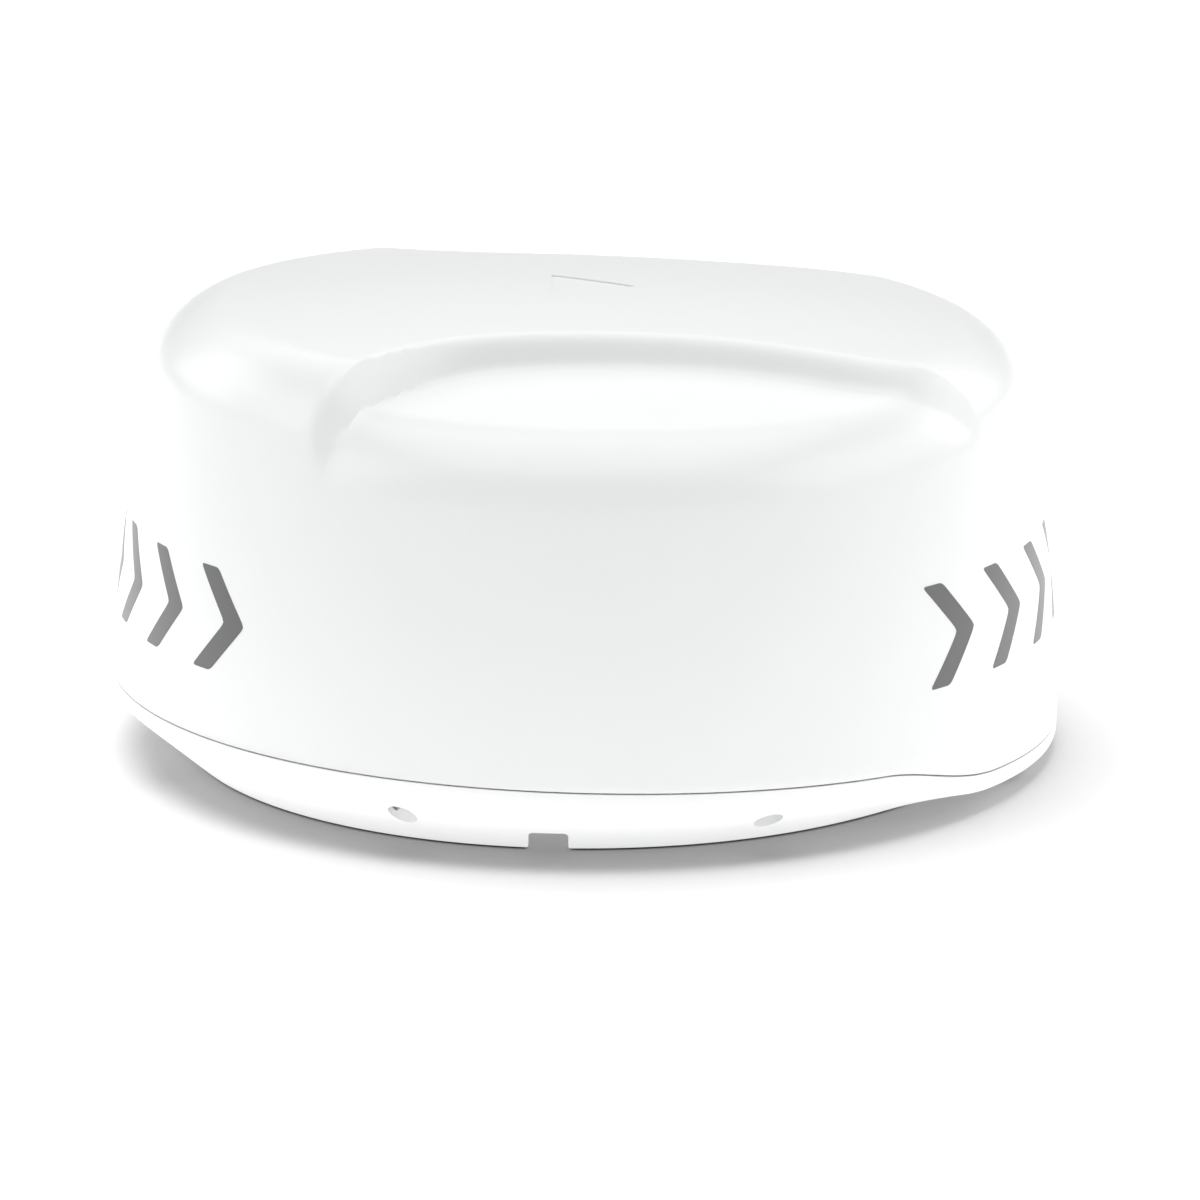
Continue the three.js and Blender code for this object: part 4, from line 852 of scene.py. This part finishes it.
def bearingMesh(low):
    # two grooved rings, with balls in a pressed cage between them
    outer, inner, high = bearing["outer"], bearing["inner"], bearing["height"]
    middle, ball = (outer + inner) / 2, bearing["ball"]
    ringWide = (outer - inner) / 2 - 1.3
    rings = []
    for wall, side in ((outer, -1), (inner, 1)):
        face = wall + side * ringWide
        groove = [(face - side * 0.9 * math.sin(turn),
                   high / 2 - 1.6 * math.cos(turn)) for turn in np.linspace(0, math.pi, 7)]
        profile = [(wall, 0.5), (wall + side * 0.5, 0), (face - side * 0.2, 0), (face, 0.3)] + groove
        profile += [(face, high - 0.3), (face - side * 0.2, high), (wall + side * 0.5, high),
                    (wall, high - 0.5)]
        rings.append(turnedMesh("ring", profile, 72))
    for index in range(bearing["balls"]):
        turn = index / bearing["balls"] * tau
        bead = [(ball * math.sin(tilt), -ball * math.cos(tilt)) for tilt in np.linspace(0, math.pi, 9)]
        rings.append(moved(turnedMesh("ball", bead, 12), middle * math.cos(turn), middle * math.sin(turn),
                           high / 2))
    cage = [(middle - 0.6, high / 2 - 0.8), (middle + 0.6, high / 2 - 0.8), (middle + 0.6, high / 2 + 0.8),
            (middle - 0.6, high / 2 + 0.8)]
    rings.append(turnedMesh("cage", cage, 48))
    return facingOut(moved(joinedMesh("bearing", rings), z=low))


shaftRows = [(5, 29.6), (5.6, 29), (9.4, 29), (10, 29.6), (10, 36), (9.5, 36.2), (9.5, 37.2), (10, 37.4),
             (10, 80.6),
             (9.5, 80.8), (9.5, 81.8), (10, 82), (10, 94.2), (9.2, 95), (5.5, 95), (5, 94.5)]

# solids that keep their shape, with the width of their broken corners
kept = {
    "rolledAluminium": {"chassis_plate": 0.35, "tensioner_arm": 0.4, "motor_bracket": 0.5,
                        "array_tray": 0.5, "array_bracket_fore": 0.7, "array_bracket_aft": 0.7},
    "blackNylon": {"encoder_disc": 0.15, "encoder_sensor": 0.6},
    "castAluminium": {"turntable": 0.8, "transceiver_box": 0.6, "transceiver_lid": 0.5},
    "creamLaminate": {"array_board": 0.2},
    "passivatedSteel": {"counterweight": 0.8},
}
for finish, edges in kept.items():
    for node, edge in edges.items():
        carried(node, finish, edge)
standFor("pedestal", "pedestalCasting", pedestalMesh(), "castAluminium")
lowSeat = drive["deckTop"] + clearance
highSeat = lowSeat + pedestal["height"] - bearing["height"]
standFor("lower_bearing", "lowerBearing", bearingMesh(lowSeat), "passivatedSteel")
standFor("upper_bearing", "upperBearing", bearingMesh(highSeat), "passivatedSteel")
standFor("antenna_shaft", "antennaShaft", facingOut(turnedMesh("shaft", shaftRows, 72)), "passivatedSteel")
standFor("driven_pulley", "drivenPulley", toothedMesh(drive["teeth"], drive["bore"], 0, 0), "blackNylon")
standFor("motor_pulley", "motorPulley",
         toothedMesh(pinion["teeth"], pinion["bore"], pinion["x"], pinion["y"]), "turnedBrass")
standFor("drive_belt", "driveBelt", beltMesh(), "blackEpdm")
standFor("drive_motor", "driveMotor", motorMesh(), "powderBlack")
spindleEnd = cylinderMesh(2.5, 42, 80, pinion["x"], pinion["y"], 32, 0.5)
standFor("motor_spindle", "motorSpindle", spindleEnd, "passivatedSteel")
idlerHigh = drive["height"]
idlerRows = [(idler["bore"], 0.4), (idler["bore"] + 0.4, 0), (idler["flange"] - 0.5, 0),
             (idler["flange"], 0.5),
             (idler["flange"], 1.5), (idler["radius"] + 0.3, 2), (idler["radius"], 2.3),
             (idler["radius"], idlerHigh - 2.3),
             (idler["radius"] + 0.3, idlerHigh - 2), (idler["flange"], idlerHigh - 1.5),
             (idler["flange"], idlerHigh - 0.5),
             (idler["flange"] - 0.5, idlerHigh), (idler["bore"] + 0.4, idlerHigh),
             (idler["bore"], idlerHigh - 0.4)]
idlerWheel = moved(turnedMesh("idler", idlerRows, 72), idler["x"], idler["y"], drive["base"])
standFor("idler_pulley", "idlerPulley", facingOut(idlerWheel), "naturalNylon")

for index, (f, p) in enumerate(fourWays):
    standFor(f"chassis_screw_{index + 1}", f"chassisScrew{index + 1}",
             screwDown(smallScrew, f * post["x"], p * post["y"], drive["deckTop"] + clearance),
             "passivatedSteel")

# screws that hold the pedestal, the motor and its bracket down
fixings = [(38 * math.cos(a), 38 * math.sin(a), drive["deckTop"] + clearance + pedestal["thick"])
           for a in (np.arange(6) + 0.5) / 6 * tau]
fixings += [(pinion["x"] + f * 15.5, pinion["y"] + p * 15.5, motor["top"] + 3.3) for f, p in fourWays]
fixings += [(pinion["x"] + f * 33, pinion["y"] + p * 13, drive["deckTop"] + clearance + 3) for f,
            p in fourWays]
shortScrew = dict(smallScrew, head=3.4, height=2, length=3.4)
addTo("base", "driveScrews", joinedMesh("driveScrews", [screwDown(shortScrew, *spot) for spot in fixings]),
      "passivatedSteel")
print("chassis and drive")

array = {"height": 78, "front": -26, "foot": 92.3, "inset": 3}
patches = {"rows": 3, "columns": 16, "width": 16.5, "tall": 13, "pitchX": 24.4, "pitchZ": 21.5,
           "copper": 0.12}


def patchMeshes():
    # copper squares in a lattice, each with a thin line to the feed that runs along its row
    face = array["front"] + array["inset"]
    middle = array["foot"] + array["height"] / 2
    xs = (np.arange(patches["columns"]) - (patches["columns"] - 1) / 2) * patches["pitchX"]
    zs = (np.arange(patches["rows"]) - (patches["rows"] - 1) / 2) * patches["pitchZ"] + middle + 2
    thick, bars = patches["copper"], []

    def at(wide, tall, x, z):
        bars.append(blockMesh((wide, thick, tall), (x, face - thick / 2 - 0.01, z)))

    for z in zs:
        for x in xs:
            at(patches["width"], patches["tall"], x, z)
            at(0.9, 2.6, x, z - patches["tall"] / 2 - 1.2)
        at(patches["pitchX"] * (patches["columns"] - 1) + 4, 1.4, 0, z - patches["tall"] / 2 - 2.9)
    at(1.6, patches["pitchZ"] * (patches["rows"] - 1), 0, middle - 7)
    return joinedMesh("patches", bars)


addTo("antenna", "arrayPatches", patchMeshes(), "brightCopper")
arrayScrew = dict(smallScrew, head=3.6, height=2.1, length=3)
arrayFixings = [(x + dx, 4.3, array["foot"] + 3) for x in (-56, 56) for dx in (-9, 9)]
arrayFixings += [(x, 22, array["foot"] + 20) for x in (-30, 30)]
backSpots = [(x + dx, z) for x in (-56, 56) for dx in (-9, 9) for z in (112, 138)]
turned = [moved(turnedTo(facingOut(screwMesh(arrayScrew)), "X", math.pi / 2), x, -8.7, z)
          for x, z in backSpots]
upright = [screwDown(arrayScrew, *spot) for spot in arrayFixings]
addTo("antenna", "arrayScrews", joinedMesh("arrayScrews", upright + turned), "passivatedSteel")
print("array")

coupler = {"low": 16.3, "rotor": 95.3}
statorRows = [(0, 0), (13.5, 0), (14, 0.5), (14, 4.5), (13.5, 5), (5.4, 5), (4.4, 6), (4.4, 30),
              (4.1, 30.4), (4.1, 31.4),
              (4.4, 31.8), (4.4, 76.2), (3.9, 76.7), (0, 76.7)]
rotorRows = [(0, 0), (8.6, 0), (9, 0.4), (9, 3), (8.5, 3.4), (8.5, 4.4), (9, 4.8), (9, 10.6), (6.4, 13.6),
             (5.6, 14), (0, 14)]
standFor("rotary_joint_stator", "rotaryJointStator",
         facingOut(moved(turnedMesh("stator", statorRows, 64), z=coupler["low"])), "turnedBrass")
standFor("rotary_joint_rotor", "rotaryJointRotor",
         facingOut(moved(turnedMesh("rotor", rotorRows, 64), z=coupler["rotor"])), "turnedBrass")


def smoothPath(points, count):
    # a Catmull-Rom curve through the points
    points = np.asarray(points, float)
    ends = np.vstack([2 * points[0] - points[1], points, 2 * points[-1] - points[-2]])
    place = np.linspace(0, len(points) - 1 - 1e-6, count)
    index, t = place.astype(int), (place % 1)[:, None]
    a, b, c, d = (ends[index + offset] for offset in range(4))
    curve = 2 * b + (c - a) * t + (2 * a - 5 * b + 4 * c - d) * t ** 2
    return 0.5 * (curve + (3 * b - a - 3 * c + d) * t ** 3)


def pathFrames(path):
    # sideways directions carried along the path without twist
    tangent = np.gradient(path, axis=0)
    tangent /= np.linalg.norm(tangent, axis=1)[:, None]
    side = np.cross(tangent[0], [0.3, 0.5, 0.81])
    sides = []
    for step in tangent:
        side = side - step * side.dot(step)
        side = side / np.linalg.norm(side)
        sides.append(side)
    sides = np.stack(sides)
    return sides, np.cross(tangent, sides)


def tubeMesh(path, radius, sides=16, braid=0.0, wind=0):
    # a round section along a path; a braid lifts the surface in two crossed sets of strands
    across, up = pathFrames(path)
    turn = np.arange(sides) / sides * tau
    along = np.arange(len(path))[:, None]
    strands = np.abs(np.sin(turn * wind / 2 + along * 0.9) * np.sin(turn * wind / 2 - along * 0.9))
    lift = radius + braid * (strands - 0.5)
    ring = across[:, None, :] * np.cos(turn)[None, :, None] + up[:, None, :] * np.sin(turn)[None, :, None]
    return facingOut(gridMesh("tube", path[:, None, :] + ring * lift[..., None], caps=True))


coaxUnder, coaxX, coaxY = 19.6, 30, 46
length = math.hypot(coaxX, coaxY)
start = 14.5 / length
radioPath = smoothPath([(coaxX * start, coaxY * start, coaxUnder), (coaxX * 0.6, coaxY * 0.6, coaxUnder),
                        (coaxX * 0.88, coaxY * 0.88, coaxUnder), (coaxX, coaxY, 25), (coaxX, coaxY, 33),
                        (coaxX, coaxY + 2, 38), (coaxX, 51.4, 40), (coaxX, 52.4, 40)], 110)
feedPath = smoothPath([(9.3, 4, 102.3), (17.3, 4, 102.3), (25.3, 2, 108.3), (27.3, -3, 114.3),
                       (27.3, -11.4, 116.3)], 80)
standFor("radio_cable", "radioCable", tubeMesh(radioPath, 1.7, 16, 0.16, 8), "brightCopper")
standFor("feed_cable", "feedCable", tubeMesh(feedPath, 1.7, 16, 0.16, 8), "brightCopper")

box = {"length": 136, "depth": 78, "height": 26, "x": -8, "y": 92}
lidTop = drive["deckTop"] + box["height"] + 2 * clearance + 3
lidSpots = [(box["x"] + f * (box["length"] / 2 - 5.5), box["y"] + p * (box["depth"] / 2 - 5.5),
             lidTop) for f, p in fourWays]
lidSpots += [(box["x"] + f * (box["length"] / 2 - 5.5), box["y"], lidTop) for f in (1, -1)]
addTo("base", "lidScrews", joinedMesh("lidScrews", [screwDown(shortScrew, *spot) for spot in lidSpots]),
      "passivatedSteel")

boards = {"top": 34.6, "low": 33, "main": (-24, -86, 104, 64), "power": (100, 62, 70, 58)}


def legs(x, y, long, deep):
    spots = [(x + f * (long / 2 - 5), y + p * (deep / 2 - 5)) for f, p in fourWays]
    return [cylinderMesh(2.9, 27.3, boards["low"] + 0.05, a, b, 24, 0.2) for a, b in spots], \
           [screwDown(dict(smallScrew, head=2.8, height=1.6, length=1.2, shank=1.4, socket=1.1, depth=0.8),
                      a, b, boards["top"])
            for a, b in spots]


def chip(x, y, wide, deep, high, pins):
    # a moulded package with a row of bent leads along two sides
    body = blockMesh((wide, deep, high), (x, y, boards["top"] + high / 2 + 0.15), 0.35)
    leads = [blockMesh((0.9, 1.6, 0.35),
                       (x + (n - (pins - 1) / 2) * wide / pins, y + side * (deep / 2 + 0.6),
                                          boards["top"] + 0.25)) for side in (1, -1) for n in range(pins)]
    return body, leads


def can(x, y, radius, high):
    # a rolled aluminium can with a crimp near its foot and a shallow dished lid
    low = boards["top"]
    rows = [(0, low), (radius - 0.4, low), (radius, low + 0.5), (radius, low + 1.4),
            (radius - 0.35, low + 1.9),
            (radius, low + 2.4), (radius, low + high - 0.6), (radius - 0.6, low + high),
            (radius - 1.2, low + high - 0.15),
            (0, low + high - 0.3)]
    return facingOut(moved(turnedMesh("can", rows, 40), x, y))


def coil(x, y, radius, thick, turns):
    # a ring core under close turns of wire: the ring's own section swells at each turn
    around, across = np.arange(turns * 6) / (turns * 6) * tau, np.arange(16) / 16 * tau
    section = thick * (1 + 0.12 * np.abs(np.sin(around * turns / 2)))[:, None]
    out = radius + section * np.cos(across)[None, :]
    z = boards["top"] + thick * 1.12 + section * np.sin(across)[None, :]
    grid = np.stack([x + out * np.cos(around)[:, None], y + out * np.sin(around)[:, None], z], -1)
    return facingOut(gridMesh("coil", grid, wrapRows=True))


for node, name, (x, y, long, deep) in (("main_board", "mainBoard", boards["main"]),
                                       ("power_board", "powerBoard", boards["power"])):
    sheet = blockMesh((long, deep, 1.6), (x, y, boards["low"] + 0.8), 0.3, 1)
    standFor(node, name, sheet, "greenSolderMask")
    pillars, heads = legs(x, y, long, deep)
    addTo("base", name + "Pillars", joinedMesh("pillars", pillars + heads), "passivatedSteel")

chips, leads = [], []
for spec in [(-44.8, -82.8, 24, 22, 2.4, 16), (-5.8, -74.8, 16, 14, 1.8, 12), (-18.8, -68.4, 9, 5, 1.6, 6),
             (16, -84, 8, 6, 1.4, 6), (93, 50.4, 24, 10, 5, 8)]:
    body, pins = chip(*spec)
    chips.append(body)
    leads += pins
chips += [blockMesh((2, 1.2, 0.8), (-66 + n * 5.6, -113 + n % 3 * 2.6, boards["top"] + 0.5), 0.1, 1)
          for n in range(14)]
chips.append(blockMesh((20, 12, 3.6), (-3.2, -98.8, boards["top"] + 1.8), 0.5))
chips.append(blockMesh((14, 10, 9.4), (-59.4, -105.8, boards["top"] + 4.7), 0.5))
chips.append(blockMesh((13, 11, 9), (119.2, 49, boards["top"] + 4.5), 0.5))
addTo("base", "boardPackages", joinedMesh("packages", chips), "blackNylon")
addTo("base", "boardLeads", joinedMesh("leads", leads), "passivatedSteel")
cans = [can(107, 73.6, 5.8, 13.6), can(121, 73.6, 4.9, 13.6), can(-29.2, -105.8, 3.9, 7.8)]
addTo("base", "boardCans", joinedMesh("cans", cans), "rolledAluminium")
addTo("base", "boardCoil", coil(82.5, 73.6, 5.9, 2.6, 22), "brightCopper", 60)
print("boards")

plugs = {"pocket": -120, "spread": 44, "height": 28, "wall": 4.6}


def plugMesh(side):
    # a round bulkhead socket: ribbed barrel aft, a flange with its seal, a hexagon nut and a potted
    # tail forward
    sides = 48
    wall = plugs["wall"]
    rows = [(0, 4, 0), (6, 4, 0), (6, -11.4, 0), (6.6, -12, 0), (7.6, -12, 0), (8, -11.6, 0)]
    for turn in range(5):
        rows += [(8, -11.2 + turn * 1.5, 0), (7.5, -10.9 + turn * 1.5, 0), (7.5, -10.3 + turn * 1.5, 0),
                 (8, -10, 0)][:3]
    rows += [(8, -3.6, 0), (11.1, -3.4, 0), (11.5, -3, 0), (11.5, -0.7, 0), (11.1, -0.3, 0), (8, -0.3, 0),
             (8, wall, 0),
             (10.2, wall, 1), (11.2, wall + 0.5, 1), (11.2, wall + 4.5, 1), (10.2, wall + 5, 1),
             (8, wall + 5, 0),
             (8, wall + 11, 0), (7, wall + 12, 0), (0, wall + 12, 0)]
    table = np.asarray(rows, float)
    grid = turnedGrid(table[:, :2], sides)
    turn = np.arange(sides) / sides * tau
    hexagon = math.cos(math.pi / 6) / np.cos((turn + math.pi / 6) % (math.pi / 3) - math.pi / 6)
    nut = table[:, 2] > 0
    grid[nut, :, :2] *= hexagon[None, :, None]
    body = gridMesh("plug", grid[1:-1], poles=True)
    pins = [cylinderMesh(0.8, -7, 4.2, 3.4 * math.cos(a), 3.4 * math.sin(a), 12,
                         0.3) for a in np.arange(5) / 5 * tau]
    whole = turnedTo(facingOut(body), "Y", math.pi / 2)
    pinSet = turnedTo(joinedMesh("pins", pins), "Y", math.pi / 2)
    spot = (plugs["pocket"], side * plugs["spread"] / 2, plugs["height"])
    return moved(whole, *spot), moved(pinSet, *spot)


pinSets = []
for side, node, name in ((-1, "power_connector", "powerSocket"), (1, "network_connector", "networkSocket")):
    body, pinSet = plugMesh(side)
    standFor(node, name, body, "blackNylon")
    pinSets.append(pinSet)
addTo("base", "contactPins", joinedMesh("pins", pinSets), "turnedBrass")

loomPath = smoothPath([(-102.8, -22, 28), (-100.8, -22, 28), (-93.8, -27, 35), (-77.4, -63.9, 44.9),
                       (-65.4, -91.8, 51.9), (-59.4, -104.8, 49.9), (-59.4, -105.8, 46.3),
                       (-59.4, -105.8, 44.9)], 120)
loomAcross, loomUp = pathFrames(loomPath)
wires = {"red": "#8f1d1a", "yellow": "#c8a22c", "blue": "#1f4c8c", "black": "#17181a"}
for index, (label, shade) in enumerate(wires.items()):
    turn = np.linspace(0, 5 * tau, len(loomPath))[:, None] + index / 4 * tau
    strand = loomPath + 1.75 * (loomAcross * np.cos(turn) + loomUp * np.sin(turn))
    wireFinish = mouldedPlastic(f"pvcWire{label.capitalize()}", {
        "colour": shade, "shade": shade, "driftMm": 5, "rough": 0.38, "roughSpread": 0.06,
        "grainMm": 0.6, "bump": 0.1, "bumpMm": 0.02})
    mesh = tubeMesh(strand, 1.15, 12)
    placeMesh(f"wire{label.capitalize()}", mesh, wireFinish, "base",
              ["wiring_loom"] if index == 0 else [], sharp=60)

ventRows = [(0, 9.6), (2.2, 9.3), (2.6, 8.9), (5.6, 8.9), (6, 9.3), (6.6, 9.3), (7.4, 8.7), (8.2, 8.7),
            (9, 9.5), (9, 11.4), (8.7, 11.7), (5, 11.7), (5, 19), (4.6, 19.3), (0, 19.3)]
standFor("breather_vent", "breatherVent", facingOut(moved(turnedMesh("vent", ventRows, 64), ventHole["x"])),
         "blackNylon")


def insertMesh(outer, bore, length, x, y, low):
    # a brass sleeve: two bands of knurling outside, a threaded bore inside
    sides = 48
    turn = np.arange(sides) / sides * tau
    rows = [(bore, 0.4, 0), (bore + 0.4, 0, 0), (outer - 0.4, 0, 0), (outer - 0.1, 0.4, 1),
            (outer - 0.1, length * 0.4, 1),
            (outer - 0.5, length * 0.44, 0), (outer - 0.5, length * 0.56, 0),
            (outer - 0.1, length * 0.6, 1),
            (outer - 0.1, length - 0.4, 1), (outer - 0.4, length, 0), (bore + 0.4, length, 0),
            (bore, length - 0.4, 0)]
    count = int((length - 1.2) / 1.25)
    for n in range(count):
        z = length - 0.6 - n * 1.25
        rows += [(bore, z, 0), (bore + 0.35, z - 0.5, 0), (bore, z - 1, 0)]
    knurl = 0.22 * (0.5 + 0.5 * np.cos(turn * 24))
    return facingOut(moved(tableMesh("insert", rows, turn, knurl), x, y, low))


for index, (x, y, seam) in enumerate(rimScrewPlaces()):
    standFor(f"dome_insert_{index + 1}", f"domeInsert{index + 1}",
             insertMesh(3.8, 2.9, 9.4, x, y, seam + parting["gap"] / 2 + clearance), "turnedBrass", 40)
for index, (f, p) in enumerate(fourWays):
    standFor(f"mount_insert_{index + 1}", f"mountInsert{index + 1}",
             insertMesh(5.6, 4.1, 12.7, f * mounting["foreAft"] / 2, p * mounting["across"] / 2, clearance),
             "turnedBrass", 40)
print("connectors, wiring, inserts and vent")

studio = {"world": 0.29, "tableSun": 4.1, "glow": 0.3, "glowFrom": 0.9, "glowTo": 2.4}
floorMaterial, floorTree, floorCoordinates = newMaterial("paleSweep")
floorDrift = addNode(floorTree, "ShaderNodeTexNoise", {"Scale": 0.6, "Detail": 1.0},
                     {"Vector": (floorCoordinates, "Object")})
floorColour = addNode(floorTree, "ShaderNodeMix",
                      {"data_type": "RGBA", 6: linear("#b4b4b4"), 7: linear("#b2b2b2")},
                      {0: (floorDrift, "Fac")})
# painted light: the sweep glows more the further it lies from the dome, so it stays as pale in the distance
# while the floor near the dome keeps its shadow
floorReach = addNode(floorTree, "ShaderNodeVectorMath", {"operation": "LENGTH"},
                     {0: (floorCoordinates, "Object")})
floorGlow = addNode(floorTree, "ShaderNodeMapRange",
                    {"interpolation_type": "SMOOTHSTEP", "From Min": studio["glowFrom"],
                     "From Max": studio["glowTo"], "To Max": studio["glow"]},
                    {"Value": (floorReach, "Value")})
floorShader = addNode(floorTree, "ShaderNodeBsdfPrincipled",
                      {"Roughness": 0.9, "Specular IOR Level": 0.1, "Emission Color": (1, 1, 1, 1)},
                      {"Base Color": (floorColour, 2), "Emission Strength": (floorGlow, "Result")})
finishMaterial(floorTree, floorShader)
floorMesh = bpy.data.meshes.new("studioFloor")
floorMesh.from_pydata([(-30, -30, 0), (30, -30, 0), (30, 30, 0), (-30, 30, 0)], [], [(0, 1, 2, 3)])
floorMesh.materials.append(floorMaterial)
floorObject = bpy.data.objects.new("studioFloor", floorMesh)
floorObject.location.z = -0.0004
bpy.context.scene.collection.objects.link(floorObject)

world = bpy.data.worlds.new("softWhite")
bpy.context.scene.world = world
world.use_nodes = True
world.node_tree.nodes.clear()
lightPath = addNode(world.node_tree, "ShaderNodeLightPath")
dim = addNode(world.node_tree, "ShaderNodeBackground", {"Color": (1, 1, 1, 1), "Strength": studio["world"]})
bright = addNode(world.node_tree, "ShaderNodeBackground", {"Color": (1, 1, 1, 1), "Strength": 1.0})
chosen = addNode(world.node_tree, "ShaderNodeMixShader", (),
                 {0: (lightPath, "Is Camera Ray"), 1: (dim, 0), 2: (bright, 0)})
addNode(world.node_tree, "ShaderNodeOutputWorld", (), {"Surface": (chosen, 0)})


def lampAt(name, light, place, target=(0, 0, 0.1)):
    lamp = bpy.data.objects.new(name, light)
    lamp.location = place
    lamp.rotation_euler = (Vector(target) - Vector(place)).to_track_quat("-Z", "Y").to_euler()
    bpy.context.scene.collection.objects.link(lamp)
    return lamp


def softbox(name, bearing, elevation, distance, size, power):
    # bearing is counted from the camera's side, in degrees
    light = bpy.data.lights.new(name, "AREA")
    light.shape = "RECTANGLE"
    light.size, light.size_y = size
    light.energy = power
    turn, lift = math.radians(bearing), math.radians(elevation)
    flat = distance * math.cos(lift)
    return lampAt(name, light, (flat * math.sin(turn), -flat * math.cos(turn),
                                distance * math.sin(lift) + 0.1))


# name, bearing, elevation, distance, size, power
softboxes = [("backLow", 180, 25, 3.2, (5.5, 0.9), 2), ("backMid", 180, 42, 3.2, (5.5, 1.1), 22),
             ("backLeft", -120, 25, 3.2, (1.6, 1.6), 16), ("backRight", 120, 25, 3.2, (1.6, 1.6), 23.5),
             ("left", -75, 35, 3.2, (2, 2), 24), ("right", 75, 35, 3.2, (2, 2), 24),
             ("overhead", 0, 90, 3.0, (3, 3), 58)]
for box in softboxes:
    softbox(*box)

# a lit panel flush with the table sends light up under the flanks and isn't seen itself
panel = bpy.data.lights.new("tablePanel", "AREA")
panel.shape, panel.size, panel.energy = "DISK", 2.4, 9.4
panelLamp = lampAt("tablePanel", panel, (0, 0, 0.0006), (0, 0, 1))
panelLamp.visible_camera = False

# a broad light straight down that falls on the table alone, with the dome in its way
tableLight = bpy.data.lights.new("tableLight", "SUN")
tableLight.energy = studio["tableSun"]
tableLight.angle = math.radians(46)
tableLamp = lampAt("tableLight", tableLight, (-0.5, 0.25, 3), (0, 0, 0))
tableOnly = bpy.data.collections.new("tableOnly")
tableOnly.objects.link(floorObject)
tableLamp.light_linking.receiver_collection = tableOnly

eye = {"distance": 2.5, "height": 0.12, "tilt": math.radians(13.7), "lens": 140, "aim": (0.0079, 0, 0.072)}
cameraData = bpy.data.cameras.new("productCamera")
cameraData.lens = eye["lens"]
cameraData.sensor_width = 36
cameraData.clip_end = 100
camera = bpy.data.objects.new("productCamera", cameraData)
place = Vector((0, -eye["distance"] * math.cos(eye["tilt"]),
                eye["height"] + eye["distance"] * math.sin(eye["tilt"])))
camera.location = place
camera.rotation_euler = (Vector(eye["aim"]) - place).to_track_quat("-Z", "Y").to_euler()
bpy.context.scene.collection.objects.link(camera)
bpy.context.scene.camera = camera
bpy.context.scene.view_settings.view_transform = "Standard"
print("stage ready")
